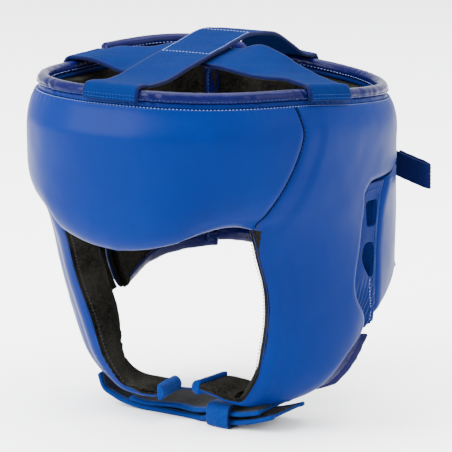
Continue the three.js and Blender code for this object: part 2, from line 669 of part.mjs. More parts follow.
// Strap end: from outside the rim, over it and in, along one edge of the strap.
function overRim(angle, slack) {
  const out = (RIM_THICKNESS + BINDING_SWELL) / 2 + slack + CROWN_THICKNESS;
  const over = RIM_TOP + slack + CROWN_THICKNESS;
  return [
    rimPoint(angle, 2 * CLEARANCE, -out),
    rimPoint(angle, RIM_TOP - 2, -out),
    rimPoint(angle, over - 0.6, -0.6 * out),
    rimPoint(angle, over, 0.2 * out),
  ];
}

// Flat strap through lines that run along it side by side, each a list of points.
function ribbon(name, look, lines, thickness, count, lowest = -Infinity) {
  const traces = lines.map((line) => new THREE.CatmullRomCurve3(line).getPoints(count));
  traces.flat().forEach((point) => { point.z = Math.max(point.z, lowest); });
  const last = traces.length - 1;
  const face = (lift) => even(count).map((share, k) => traces.map((trace, i) => {
    const ahead = trace[Math.min(k + 1, count)].clone().sub(trace[Math.max(k - 1, 0)]);
    const across = traces[Math.min(i + 1, last)][k].clone().sub(traces[Math.max(i - 1, 0)][k]);
    return trace[k].clone().addScaledVector(across.cross(ahead).normalize(), lift);
  }));
  return slab(name, look, face(0), face(-thickness));
}

// Long crown strap, from the front of the rim to its rear.
function longStrap() {
  const edge = (side) => {
    const half = side * CROWN_WIDTH / 2;
    const front = LONG_FRONT_ANGLE + side * angleOf(CROWN_WIDTH / 2, FRONT_REACH);
    const rear = LONG_REAR_ANGLE - side * angleOf(CROWN_WIDTH / 2, BACK_REACH);
    const start = overRim(front, LONG_SLACK);
    const finish = overRim(rear, LONG_SLACK).reverse();
    const a = start[start.length - 1];
    const b = finish[0];
    const middleA = a.x - half;
    const middleB = b.x - half;
    const free = LONG_LINE.map(({ reach, level }) => {
      const y = reach * (reach < 0 ? FRONT_REACH : BACK_REACH);
      const x = mix(middleA, middleB, (y - a.y) / (b.y - a.y)) + half;
      return new THREE.Vector3(x, y, level * PAD_TOP);
    });
    return [...start, ...free, ...finish];
  };
  return ribbon('crown_strap_long', STRAP_LOOK, [-1, 0, 1].map(edge), CROWN_THICKNESS, 30);
}

// Cross strap, from the left of the rim to its right, under the long one.
function crossStrap() {
  const edge = (side) => {
    const half = side * angleOf(CROWN_WIDTH / 2);
    const start = overRim(CROSS_LEFT_ANGLE + half, CROSS_SLACK);
    const finish = overRim(CROSS_RIGHT_ANGLE - half, CROSS_SLACK).reverse();
    const a = start[start.length - 1];
    const b = finish[0];
    const free = CROSS_LINE.map((row) => {
      const x = row.across * HALF_WIDTH;
      const y = mix(a.y, b.y, (x - a.x) / (b.x - a.x));
      return new THREE.Vector3(x, y, mix(row.front, row.rear, (side + 1) / 2) * PAD_TOP);
    });
    return [...start, ...free, ...finish];
  };
  const lines = [-1, -0.4, 0.4, 1].map(edge);
  return ribbon('crown_strap_cross', STRAP_LOOK, lines, CROWN_THICKNESS, 32);
}

// Chin strap along the floor.
function chinStrap(name, table, count) {
  const edge = (side) => table.map(({ across, level, middle, skew }) => new THREE.Vector3(
    (across - skew * (side + 1) / 2) * HALF_WIDTH,
    (side / 2 - middle) * CHIN_WIDTH,
    level * CHIN_THICKNESS,
  ));
  return ribbon(name, STRAP_LOOK, [edge(1), edge(-1)], CHIN_THICKNESS, count, CHIN_THICKNESS);
}

// Keeper: a loop of cloth round both chin straps, its two ends meeting on top.
const KEEPER_TURN = [
  { way: 0.02, rise: 1 },
  { way: 0.92, rise: 1 },
  { way: 1.00, rise: 0.6 },
  { way: 1.00, rise: 0.3 },
  { way: 0.92, rise: 0 },
];

function keeper() {
  const around = [
    ...KEEPER_TURN,
    ...KEEPER_TURN.slice().reverse().map(({ way, rise }) => ({ way: -way, rise })),
  ];
  const wall = KEEPER_THICKNESS;
  const rows = [-0.5, 0, 0.5].map((share) => KEEPER_PLACE + share * KEEPER_WIDTH);
  const grid = (inward) => rows.map((x) => {
    const middle = -read(LOWER_STRAP, 'across', x / HALF_WIDTH, 'middle') * CHIN_WIDTH;
    const half = CHIN_WIDTH / 2 + KEEPER_EASE + wall - inward;
    const high = read(UPPER_STRAP, 'across', x / HALF_WIDTH, 'level') * CHIN_THICKNESS;
    const top = high + 4 * CLEARANCE + wall - inward;
    return around.map(({ way, rise }) => new THREE.Vector3(x, middle + way * half, mix(inward, top, rise)));
  });
  return slab('chin_keeper', STRAP_LOOK, grid(0), grid(wall));
}

// Bound strip behind the cheek, from the ear panel's lower corner to the chin strap.
const JAW_RUNS = SIDE_RUNS.filter((run) => run > 0.75 && run < 0.97);
const JAW_SINK = 0.32;

function jawStrip(name, side) {
  const grid = (lower) => JAW_RUNS.map((run) => even(2).map((u) => {
    const to = read(SECTIONS, 'run', run, 'to') + 1.5 * angleOf(PANEL_GAP);
    const angle = to + u * read(JAW_LINE, 'run', run, 'reach');
    return under(side * angle, run, JAW_SINK * SIDE_PAD * read(SECTIONS, 'run', run, 'pad') + lower);
  }));
  return slab(name, BINDING_LOOK, grid(0), grid(JAW_STRIP));
}

// Binding over the free end of a cheek flap.
function chinTab(name, side) {
  const last = SIDE_RUNS[SIDE_RUNS.length - 1];
  const rows = [last + CLEARANCE / PAD_TOP, last + TAB_LENGTH];
  const columns = even(4);
  const grid = (lower) => rows.map((run) => columns.map((u) => {
    const from = read(SECTIONS, 'run', run, 'from');
    const to = read(SECTIONS, 'run', run, 'to');
    const { pad, lining } = sideDepth(90, run);
    const depth = lower ? pad + LAYER_CLEARANCE + lining + TAB_COVER : -TAB_COVER;
    return under(side * mix(from, to, u), run, depth);
  }));
  return slab(name, STRAP_LOOK, grid(false), grid(true));
}

// Pull loop: ribbed webbing folded double, standing out from the back wing.
function pullLoop() {
  const base = under(LOOP_ANGLE, 1 - LOOP_HEIGHT / PAD_TOP, -2 * CLEARANCE);
  const spread = LOOP_THICKNESS + CLEARANCE;
  const spot = (out, back, z) => new THREE.Vector3(base.x + out, base.y + back, z);
  const edge = (side) => {
    const z = (out) => LOOP_HEIGHT - LOOP_DROOP * (out / LOOP_REACH) + side * LOOP_WIDTH / 2;
    return [
      spot(0, 0, z(0)),
      spot(0.4 * LOOP_REACH, 0.5, z(0.4 * LOOP_REACH)),
      spot(0.9 * LOOP_REACH, 2.2, z(0.9 * LOOP_REACH)),
      spot(LOOP_REACH, 3.0 + spread, z(LOOP_REACH)),
      spot(0.9 * LOOP_REACH, 3.0 + 2 * spread, z(0.9 * LOOP_REACH)),
      spot(0.4 * LOOP_REACH, 2.0 + 2 * spread, z(0.4 * LOOP_REACH)),
      spot(0.1 * LOOP_REACH, 1.5 + 2 * spread, z(0.1 * LOOP_REACH)),
    ];
  };
  return ribbon('pull_loop', BINDING_LOOK, [edge(1), edge(-1)], LOOP_THICKNESS, 18);
}

const group = new THREE.Group();

const brow = layered(browPanel, browDepth, () => 0);
group.add(brow.pad('brow_pad'), brow.lining('brow_lining'));

for (const [label, side, armEnd, wingEnd, wingSink] of [
  ['left', 1, ARM_END_LEFT, OUTER_WING_END, PANEL_GAP],
  ['right', -1, ARM_END_RIGHT, INNER_WING_END, INNER_INSET + PANEL_GAP],
]) {
  const cheek = layered((retreat) => sidePanel(side, armEnd, retreat), sideDepth, () => 0);
  group.add(cheek.pad(`side_pad_${label}`), cheek.lining(`side_lining_${label}`));
  group.add(earPanel(`ear_panel_${label}`, side, armEnd, wingEnd, wingSink));
}

const outerWing = layered(
  (retreat) => wingPanel(1, ARM_END_LEFT, OUTER_WING_END, retreat),
  outerDepth,
  (angle) => WING_OUTSET * outerShare(angle),
);
group.add(outerWing.pad('back_wing_outer'), outerWing.lining('back_wing_outer_lining'));
const innerWing = layered(
  (retreat) => wingPanel(-1, ARM_END_RIGHT, INNER_WING_END, retreat),
  innerDepth,
  () => -INNER_INSET,
);
group.add(innerWing.pad('back_wing_inner'), innerWing.lining('back_wing_inner_lining'));

const RIM_SPAN = [-INNER_WING_END, OUTER_WING_END];
group.add(rimBand('rim_skirt', LEATHER_LOOK, ...RIM_SPAN, CLEARANCE, RIM_SKIRT, RIM_THICKNESS, false));
group.add(rimBand(
  'rim_binding', BINDING_LOOK, ...RIM_SPAN, RIM_SKIRT + CLEARANCE, RIM_TOP, RIM_THICKNESS + BINDING_SWELL, true,
));

group.add(longStrap(), crossStrap());
group.add(jawStrip('jaw_strip_left', 1), jawStrip('jaw_strip_right', -1));
group.add(chinTab('chin_tab_left', 1), chinTab('chin_tab_right', -1));
group.add(chinStrap('chin_strap_lower', LOWER_STRAP, 28), chinStrap('chin_strap_upper', UPPER_STRAP, 16));
group.add(keeper(), pullLoop());

export default group;
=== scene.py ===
# %% [markdown]
# # Boxing headgear
# An open-face headgear: a padded brow, two cheek pads with chin flaps, lapped back wings,
# a bound rim, two crossed crown straps and a chin strap that it stands on.
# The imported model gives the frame: every length below is in millimetres on the same axes,
# with the wearer's left on +X and the face towards -Y, and is turned into metres in one place.

import math

import bpy
import numpy as np
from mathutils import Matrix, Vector, noise


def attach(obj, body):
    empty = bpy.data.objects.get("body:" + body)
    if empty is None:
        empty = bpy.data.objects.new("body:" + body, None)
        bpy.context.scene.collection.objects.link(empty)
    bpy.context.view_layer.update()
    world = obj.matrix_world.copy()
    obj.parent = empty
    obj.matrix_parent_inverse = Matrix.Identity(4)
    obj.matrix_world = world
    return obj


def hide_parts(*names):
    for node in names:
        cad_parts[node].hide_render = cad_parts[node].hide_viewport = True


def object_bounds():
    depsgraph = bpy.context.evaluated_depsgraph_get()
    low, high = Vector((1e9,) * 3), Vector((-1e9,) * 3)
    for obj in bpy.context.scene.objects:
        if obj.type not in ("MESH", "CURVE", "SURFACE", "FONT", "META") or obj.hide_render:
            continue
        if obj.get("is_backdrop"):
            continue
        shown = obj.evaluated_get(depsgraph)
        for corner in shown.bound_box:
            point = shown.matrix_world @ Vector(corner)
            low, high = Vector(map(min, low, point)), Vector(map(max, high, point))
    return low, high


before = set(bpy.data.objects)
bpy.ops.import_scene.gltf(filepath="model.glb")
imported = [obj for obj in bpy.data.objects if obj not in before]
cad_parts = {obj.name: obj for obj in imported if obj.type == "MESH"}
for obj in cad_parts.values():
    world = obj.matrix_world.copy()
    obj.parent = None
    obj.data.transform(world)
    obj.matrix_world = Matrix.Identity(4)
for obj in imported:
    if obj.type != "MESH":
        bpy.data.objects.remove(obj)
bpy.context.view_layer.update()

# %% [markdown]
# ## Camera
# The camera stands over two metres off with a long lens, as in catalogue photographs, so that
# the near cheek is hardly larger than the far one. It looks from the wearer's front left and a
# little down. A small shift puts the head's axis left of the middle, as it is in the picture.
# It could be placed by eye, but it was solved from the outline together with the size, so
# what the picture shows and what the solids measure agree.

# %% Camera
EYE_AWAY, EYE_HEIGHT = 2.27, 0.585
EYE_TURN, EYE_TILT = math.radians(29.5), math.radians(11.7)

camera_data = bpy.data.cameras.new("camera")
camera_data.sensor_width = 36
camera_data.lens = 300.3
camera_data.shift_x = 0.0184
camera = bpy.data.objects.new("camera", camera_data)
camera.location = (math.sin(EYE_TURN) * EYE_AWAY, -math.cos(EYE_TURN) * EYE_AWAY, EYE_HEIGHT)
camera.rotation_euler = (math.pi / 2 - EYE_TILT, 0, EYE_TURN)
camera_data.clip_end = 30
bpy.context.scene.collection.objects.link(camera)
bpy.context.scene.camera = camera
print("camera at", [round(v, 3) for v in camera.location])

# %% [markdown]
# ## The form that every panel follows
# A headgear is cut flat and sewn over a head form. Here the form is one skin: a point of it is
# given by the angle round the head and the run down from the rim. The tables hold the same
# shares of the same named sizes as the solids, so a panel made from them lands where its
# solid is, only with many more points.

# %% Sizes and tables
CLEARANCE, LAYER_CLEARANCE, SEAM_CLEARANCE = 0.3, 0.5, 0.7
LINING_RETREAT, PANEL_GAP = 2, 0.8
HALF_WIDTH, FRONT_REACH, BACK_REACH, PLAN_POWER = 103, 131, 116, 2.3
PAD_TOP, NECK_HEIGHT = 209, 84
RIM_SKIRT, RIM_BINDING, RIM_THICKNESS = 3.2, 6, 6
BROW_PAD, SIDE_PAD, BACK_PAD, WING_PAD, INNER_WING_PAD = 25, 13, 12, 8, 6
LINING, WING_LINING, LEATHER = 7.5, 5, 3
ARM_END_LEFT, ARM_END_RIGHT = 126, 104
OUTER_WING_END, INNER_WING_END, WING_OUTSET = 254, 150, 5
CHIN_LIFT_LEFT, CHIN_LIFT_RIGHT = 8, 1
BROW_MIDDLE, BROW_SET_BACK = 0.45, 0.051


def table(names, *rows):
    """Columns of a table by name."""
    return dict(zip(names.split(), np.array(rows, float).T))


SECTIONS = table(
    "run level half front power back start stop pad lining cushion",
    (0.00, 1.000, 0.958, 0.949, 2.30, 0.966, 54.5, 90.0, 0.66, 1.00, 0.00),
    (0.03, 0.970, 0.985, 0.978, 2.30, 0.986, 55.6, 90.0, 0.88, 1.00, 0.00),
    (0.08, 0.920, 1.000, 0.998, 2.30, 1.000, 56.8, 90.0, 1.00, 1.00, 0.00),
    (0.17, 0.830, 1.000, 1.000, 2.30, 1.000, 53.5, 90.0, 1.00, 1.00, 0.00),
    (0.25, 0.750, 1.000, 0.975, 2.30, 1.000, 48.6, 90.0, 1.00, 1.00, 0.00),
    (0.31, 0.690, 1.000, 0.892, 2.28, 1.000, 44.4, 90.0, 1.00, 1.00, 0.00),
    (0.35, 0.650, 1.000, 0.821, 2.22, 1.000, 41.6, 89.9, 1.00, 1.00, 0.05),
    (0.45, 0.550, 1.000, 0.746, 2.00, 1.000, 44.0, 87.4, 1.00, 1.00, 0.30),
    (0.55, 0.450, 0.998, 0.689, 1.86, 0.990, 48.1, 85.0, 1.00, 1.00, 0.50),
    (0.61, 0.390, 0.990, 0.652, 1.80, 0.980, 49.6, 86.9, 1.00, 1.00, 0.50),
    (0.67, 0.330, 0.970, 0.607, 1.78, 0.960, 50.2, 94.0, 1.00, 1.00, 0.50),
    (0.72, 0.280, 0.945, 0.575, 1.78, 0.940, 50.1, 95.8, 1.00, 1.00, 0.45),
    (0.77, 0.230, 0.910, 0.552, 1.80, 0.920, 49.7, 92.8, 0.95, 1.00, 0.35),
    (0.84, 0.165, 0.850, 0.507, 1.90, 0.900, 48.8, 88.0, 0.85, 0.90, 0.20),
    (0.91, 0.110, 0.745, 0.457, 2.05, 0.900, 46.0, 86.0, 0.68, 0.80, 0.05),
    (0.98, 0.074, 0.600, 0.442, 2.20, 0.900, 43.0, 80.0, 0.50, 0.66, 0.00),
    (1.06, 0.060, 0.437, 0.460, 2.30, 0.900, 36.5, 68.0, 0.38, 0.56, 0.00),
    (1.13, 0.060, 0.300, 0.510, 2.30, 0.900, 27.0, 58.0, 0.32, 0.50, 0.00),
    (1.19, 0.064, 0.185, 0.510, 2.30, 0.900, 16.5, 41.0, 0.28, 0.45, 0.00),
    (1.25, 0.066, 0.105, 0.510, 2.30, 0.900, 9.3, 23.6, 0.28, 0.45, 0.00),
)
BROW_LINE = table(
    "along level",
    (0.00, 0.582), (0.22, 0.593), (0.50, 0.621), (0.75, 0.648), (0.88, 0.652), (1.00, 0.638),
)
ARM_LINE = table(
    "angle run",
    (90, 0.310), (93, 0.290), (96, 0.281), (106, 0.282), (114, 0.281), (126, 0.270),
)
WING_LINE = table(
    "run angle",
    (0.287, 107.6), (0.305, 106.2), (0.340, 102.2), (0.400, 99.8), (0.485, 98.7),
    (0.592, 99.0), (0.650, 101.0), (0.703, 103.2),
)
RIM_LINE = table(
    "angle drop",
    (-150, 0.040), (-103, 0.030), (-76, 0.026), (-30, 0.004), (0, 0.0), (25, 0.004),
    (57, 0.014), (84, 0.041), (104, 0.058), (130, 0.078), (150, 0.078), (172, 0.066),
    (195, 0.040), (220, 0.003), (254, 0.004),
)
NECK_LINE = table(
    "angle level",
    (97, 0.73), (104, 0.74), (111, 0.81), (120, 0.90), (130, 0.95), (150, 0.99),
    (180, 1.00), (254, 1.00),
)
print(len(SECTIONS["run"]), "sections of the skin")

# %% Reading a table and finding a point of the skin
def read(rows, key, at, column):
    """Value of a column at a key, smoothly between the rows."""
    keys, values = rows[key], rows[column]
    last = len(keys) - 1
    i = np.clip(np.searchsorted(keys, at, side="right") - 1, 0, last - 1)
    span = keys[i + 1] - keys[i]
    t = np.clip((at - keys[i]) / span, 0, 1)
    before, after = np.maximum(i - 1, 0), np.minimum(i + 2, last)
    slope_a = (values[i + 1] - values[before]) / (keys[i + 1] - keys[before])
    slope_b = (values[after] - values[i]) / (keys[after] - keys[i])
    h = t * t * (3 - 2 * t)
    out, back = span * slope_a * t * (1 - t) ** 2, span * slope_b * t * t * (t - 1)
    return values[i] * (1 - h) + values[i + 1] * h + out + back


def ease(low, high, value):
    t = np.clip((np.asarray(value, float) - low) / (high - low), 0, 1)
    return t * t * (3 - 2 * t)


def mix(a, b, share):
    return a * (1 - share) + b * share


def skin(angle, run):
    """Point of the outer skin at an angle in degrees and a run down from the rim."""
    angle, run = np.broadcast_arrays(np.asarray(angle, float), np.asarray(run, float))
    turn, side = np.radians(angle), np.abs(angle)
    seam = read(SECTIONS, "run", run, "start")
    brow = 1 - BROW_SET_BACK * (1 - ease(0, 0.09, run))
    shown = np.clip((side - BROW_MIDDLE * seam) / ((1 - BROW_MIDDLE) * seam), 0, 1)
    shown = shown * shown * (3 - 2 * shown)
    front = mix(brow, read(SECTIONS, "run", run, "front"), shown) * FRONT_REACH
    back = read(SECTIONS, "run", run, "back") * BACK_REACH
    depth = np.where(np.cos(turn) > 0, front, back)
    across = np.abs(np.sin(turn)) / (read(SECTIONS, "run", run, "half") * HALF_WIDTH)
    along = np.abs(np.cos(turn)) / depth
    power = mix(PLAN_POWER, read(SECTIONS, "run", run, "power"), np.where(np.cos(turn) > 0, shown, 0))
    radius = (across**power + along**power) ** (-1 / power)
    drop = read(RIM_LINE, "angle", angle, "drop") * (1 - ease(0, 0.3, run))
    lift = np.where(angle > 0, CHIN_LIFT_LEFT, CHIN_LIFT_RIGHT) * ease(0.98, 1.19, run)
    height = (read(SECTIONS, "run", run, "level") - drop) * PAD_TOP + lift
    return np.stack([radius * np.sin(turn), -radius * np.cos(turn), height], -1)


def unit(vectors):
    return vectors / np.maximum(np.linalg.norm(vectors, axis=-1, keepdims=True), 1e-9)


def outward(angle, run):
    """Outward direction, level on the upright walls and square to the skin under the jaw."""
    along = skin(angle + 0.5, run) - skin(angle - 0.5, run)
    down = skin(angle, run + 0.004) - skin(angle, np.maximum(run - 0.004, 0))
    normal = unit(np.cross(down, along))
    normal[..., 2] *= ease(0.6, 0.85, run)
    return unit(normal)


def under(angle, run, depth):
    return skin(angle, run) - outward(angle, run) * np.asarray(depth, float)[..., None]


def angle_of(width, radius=HALF_WIDTH):
    return math.degrees(width / radius)


print("brow at", skin(0, 0.17).round(1), "ear at", skin(90, 0.3).round(1))

# %% [markdown]
# ## Making a panel
# A stuffed panel is two faces sewn round an edge. It can be made from a cube with many cuts,
# or from a simulation, but moulded foam under tight leather keeps its cut form, so each panel
# here is a fine grid: a face that rounds over towards its edges, a back, and a wall between
# them that bulges a little. How far a point is from an edge is measured in space, from a line
# of points along that edge, so corners round off evenly.

# %% Distances, edges and unevenness
def way_to(points, line):
    """Distance of every point of a grid from a line of points."""
    flat = points.reshape(-1, 3)
    best = np.full(len(flat), 1e9)
    for a, b in zip(line[:-1], line[1:]):
        run = b - a
        t = np.clip((flat - a) @ run / max(run @ run, 1e-9), 0, 1)
        best = np.minimum(best, np.linalg.norm(flat - a - t[:, None] * run, axis=1))
    return best.reshape(points.shape[:-1])


def rounding(way, reach):
    """Share of the full height at a way in from an edge, along a quarter circle."""
    return np.sqrt(1 - (1 - np.clip(way / reach, 0, 1)) ** 2)


def hump(value, middle, width):
    return np.exp(-(((value - middle) / width) ** 2))


def rough(points, size, seed=0.0):
    """Smooth unevenness between -1 and 1 whose bumps are about size wide."""
    flat = points.reshape(-1, 3) / size
    made = [noise.noise(Vector((p[0] + seed, p[1] - seed, p[2] + 2 * seed))) for p in flat]
    return np.array(made).reshape(points.shape[:-1]) * 1.6


def crowd(count, pull=0.75):
    """Shares from 0 to 1 that are closer together at both ends."""
    t = np.linspace(0, 1, count + 1)
    return t - pull * np.sin(2 * np.pi * t) / (2 * np.pi)


def spans(*stops):
    """Shares along several spans in turn: a start, then an end and a count for each."""
    made = [stops[0]]
    for end, count in zip(stops[1::2], stops[2::2]):
        made.extend(np.linspace(made[-1], end, count + 1)[1:])
    return np.array(made)


print("an edge rounded over 20 mm rises as", rounding(np.array([0, 5, 10, 20]), 20).round(2))


# %% A mesh from points and faces
def build(name, points, faces, materials, tags=None):
    """A smooth mesh object from points in millimetres, riding on the body."""
    mesh = bpy.data.meshes.new(name)
    mesh.from_pydata((np.asarray(points) * 0.001).tolist(), [], faces)
    for material in materials:
        mesh.materials.append(material)
    if tags is not None:
        mesh.polygons.foreach_set("material_index", np.asarray(tags, np.int32))
    mesh.polygons.foreach_set("use_smooth", [True] * len(mesh.polygons))
    mesh.update()
    made = bpy.data.objects.new(name, mesh)
    bpy.context.scene.collection.objects.link(made)
    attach(made, "root")
    return made


def facing_out(points, faces):
    """The faces, turned round if they enclose their volume inside out."""
    p = np.asarray(points)
    volume = 0.0
    for face in faces:
        a = p[face[0]]
        for k in range(1, len(face) - 1):
            volume += a @ np.cross(p[face[k]], p[face[k + 1]])
    return faces if volume > 0 else [face[::-1] for face in faces]


# %% A closed piece between two grids
def shell(
    name, outer, inner, materials, keep=None, bulge=0.0, steps=4, hem=0, turned_in=99, lined=None
):
    """Closed piece between an outer and an inner grid, with a wall of some steps between them.

    Materials are those of the face, the back and the wall. keep says which cells are there,
    and bulge how far the wall stands out. The first and last columns, as many as hem, take
    the wall's material. The back's covers the lined cells and the wall after turned_in steps.
    """
    rows, columns = outer.shape[:2]
    if keep is None:
        keep = np.ones((rows - 1, columns - 1), bool)
    present = np.zeros((rows + 1, columns + 1), bool)
    present[1:rows, 1:columns] = keep
    points, index, faces, tags = [], {}, [], []

    def at(kind, j, i, point):
        key = (kind, j, i)
        if key not in index:
            index[key] = len(points)
            points.append(point)
        return index[key]

    def add(face, tag):
        faces.append(face)
        tags.append(tag)

    edges, push = [], {}
    for j in range(rows - 1):
        for i in range(columns - 1):
            if not keep[j, i]:
                continue
            ring = ((j, i), (j + 1, i), (j + 1, i + 1), (j, i + 1))
            hemmed = min(i, columns - 2 - i) < hem
            inside = lined is not None and lined[j, i]
            add([at("o", *c, outer[c]) for c in ring], 2 if hemmed else 1 if inside else 0)
            add([at("i", *c, inner[c]) for c in reversed(ring)], 1)
            for (a, b, dj, di) in (
                (ring[0], ring[1], 0, -1), (ring[1], ring[2], 1, 0),
                (ring[2], ring[3], 0, 1), (ring[3], ring[0], -1, 0),
            ):
                if not present[j + 1 + dj, i + 1 + di]:
                    edges.append((a, b))
                    for c in (a, b):
                        other = (c[0] - dj, c[1] - di)
                        push[c] = push.get(c, 0) + unit(outer[c] - outer[other])

    def wall(c, k):
        if k == 0:
            return at("o", *c, outer[c])
        if k == steps:
            return at("i", *c, inner[c])
        t = k / steps
        most = bulge(*c) if callable(bulge) else bulge
        out = unit(push[c]) * most * math.sin(math.pi * t) ** 0.8
        return at(k, *c, mix(outer[c], inner[c], t) + out)

    for a, b in edges:
        for k in range(steps):
            add([wall(b, k), wall(a, k), wall(a, k + 1), wall(b, k + 1)], 2 if k < turned_in else 1)
    faces = facing_out(points, faces)
    slots = [min(tag, len(materials) - 1) for tag in tags]
    return build(name, points, faces, materials, slots)


# %% [markdown]
# ## Threads
# The sewing is what the eye finds first on such a piece. A stitch is a short bead of thread
# that dives into the leather at both ends. One bead is shaped and then copied along a line,
# at the pitch of an industrial machine, with eighteen faces each so that hundreds cost little.

# %% Stitches along a line
def resampled(points, ups, pitch):
    """Points, ups and directions at even steps along a line."""
    steps = np.linalg.norm(np.diff(points, axis=0), axis=1)
    way = np.concatenate([[0], np.cumsum(steps)])
    at = np.arange(pitch / 2, way[-1], pitch)
    place = np.stack([np.interp(at, way, points[:, k]) for k in range(3)], 1)
    up = unit(np.stack([np.interp(at, way, ups[:, k]) for k in range(3)], 1))
    ahead = np.stack([np.interp(at + 0.3, way, points[:, k]) for k in range(3)], 1)
    behind = np.stack([np.interp(at - 0.3, way, points[:, k]) for k in range(3)], 1)
    return place, up, unit(ahead - behind)


BEAD = [(-0.5, 0, -0.5)] + [
    (x, 0.5 * w * math.cos(a), 0.35 + 0.5 * w * math.sin(a) + drop)
    for x, w, drop in ((-0.3, 0.9, -0.25), (0.3, 0.9, -0.25))
    for a in np.linspace(0, 2 * math.pi, 7)[:-1]
] + [(0.5, 0, -0.5)]
BEAD_FACES = (
    [[0, 1 + (k + 1) % 6, 1 + k] for k in range(6)]
    + [[1 + k, 1 + (k + 1) % 6, 7 + (k + 1) % 6, 7 + k] for k in range(6)]
    + [[13, 7 + k, 7 + (k + 1) % 6] for k in range(6)]
)
sewn = {}


def sew(thread, points, ups, pitch=2.4, length=1.7, width=0.55):
    """Adds stitches of one thread along a line."""
    place, up, ahead = resampled(points, ups, pitch)
    side = unit(np.cross(up, ahead))
    up = np.cross(ahead, side)
    bead = np.array(BEAD) * (length, width, width)
    made = place[:, None] + (
        ahead[:, None] * bead[None, :, :1]
        + side[:, None] * bead[None, :, 1:2]
        + up[:, None] * bead[None, :, 2:]
    )
    sewn.setdefault(thread, []).append(made.reshape(-1, 3))


print("a stitch has", len(BEAD), "points and", len(BEAD_FACES), "faces")

# %% [markdown]
# ## Finishes
# The real one is polyurethane leather: smooth, satin, with a pore as fine as skin and slow
# waves where the foam gives. The bindings are a thinner, glossier film in a violet blue. The
# straps are brushed cloth, the lining is napped suede cloth that shows every stroke, the lower
# chin strap is hook tape and the upper one loop tape. A finish could be a picture, but a
# pattern that is worked out from the place has no edges, and it can be changed by a number.
# The class below lets those patterns be written as sums.

# %% A small class for shader sums
class Wire:
    """A socket of a material, with the sums that finishes are written in."""

    def __init__(self, tree, socket):
        self.tree, self.socket = tree, socket

    def node(self, kind, settings=None, values=None, pick=0):
        """Any node: its settings first, then the values or links of its sockets."""
        made = self.tree.nodes.new("ShaderNode" + kind)
        for name, value in (settings or {}).items():
            setattr(made, name, value)
        for name, value in (values or {}).items():
            if isinstance(value, Wire):
                self.tree.links.new(value.socket, made.inputs[name])
            else:
                made.inputs[name].default_value = value
        return Wire(self.tree, made.outputs[pick])

    def maths(self, operation, a, b):
        return self.node("Math", {"operation": operation}, {0: a, 1: b})

    def __add__(self, other):
        return self.maths("ADD", self, other)

    def __radd__(self, other):
        return self.maths("ADD", other, self)

    def __sub__(self, other):
        return self.maths("SUBTRACT", self, other)

    def __rsub__(self, other):
        return self.maths("SUBTRACT", other, self)

    def __mul__(self, other):
        return self.maths("MULTIPLY", self, other)

    def __rmul__(self, other):
        return self.maths("MULTIPLY", other, self)

    def noise(self, scale, detail=2.0, roughness=0.5):
        values = {"Vector": self, "Scale": scale, "Detail": detail, "Roughness": roughness}
        return self.node("TexNoise", None, values)

    def cells(self, scale, **settings):
        return self.node("TexVoronoi", settings, {"Vector": self, "Scale": scale})

    def between(self, low, high):
        """0 below low, 1 above high, and smoothly from one to the other."""
        return self.node(
            "MapRange", {"interpolation_type": "SMOOTHSTEP"}, {0: self, 1: low, 2: high, 3: 0.0, 4: 1.0}
        )

    def blend(self, a, b):
        """Colour a where this is 0 and colour b where it is 1."""
        settings = {"data_type": "RGBA", "clamp_factor": True}
        a, b = ((c if isinstance(c, Wire) else (*c, 1)) for c in (a, b))
        return self.node("Mix", settings, {0: self, 6: a, 7: b}, 2)

    def bump(self, distance, strength=1.0, after=None):
        values = {"Height": self, "Distance": distance, "Strength": strength}
        if after is not None:
            values["Normal"] = after
        return self.node("Bump", None, values)


def finish_of(name, constants):
    """A new material, the wire of the place on the object, and a way to feed its shader."""
    material = bpy.data.materials.new(name)
    material.use_nodes = True
    tree = material.node_tree
    shader = tree.nodes["Principled BSDF"]
    for socket, value in constants.items():
        shader.inputs[socket].default_value = value
    place = Wire(tree, tree.nodes.new("ShaderNodeTexCoord").outputs["Object"])

    def feed(socket, wire):
        tree.links.new(wire.socket, shader.inputs[socket])

    return material, place, feed


# %% Leather and binding
def leather_finish(name, base, deep, roughness, pore=0.00004, wave=0.0006, coat=0.0):
    constants = {"Coat Weight": coat, "Coat Roughness": 0.22, "Specular IOR Level": 0.038}
    material, place, feed = finish_of(name, constants)
    slow = place.noise(14, 3)
    fine = place.noise(260, 3, 0.6)
    tone = (slow * 0.75 + fine * 0.25).between(0.3, 0.72)
    feed("Base Color", tone.blend(deep, base))
    feed("Roughness", roughness + (place.noise(38, 2) - 0.5) * 0.1 + (fine - 0.5) * 0.06)
    grain = place.cells(1500, feature="SMOOTH_F1") * 0.7 + place.noise(2600, 2) * 0.3
    dips = place.noise(55, 2)
    feed("Normal", grain.bump(pore, 0.5, dips.bump(wave, 0.35)))
    return material


leather = leather_finish(
    "leather_blue", (0.0003, 0.0090, 0.080), (0.0002, 0.0068, 0.065), roughness=0.4
)
leather_thin = leather_finish(
    "leather_blue_thin", (0.0003, 0.0085, 0.076), (0.0002, 0.0050, 0.050),
    roughness=0.4, pore=0.00008, wave=0.0016,
)
binding = leather_finish(
    "binding_violet_blue", (0.0022, 0.0026, 0.038), (0.0010, 0.0014, 0.022),
    roughness=0.26, wave=0.0024, coat=0.05,
)
print("leathers", [m.name for m in (leather, leather_thin, binding)])


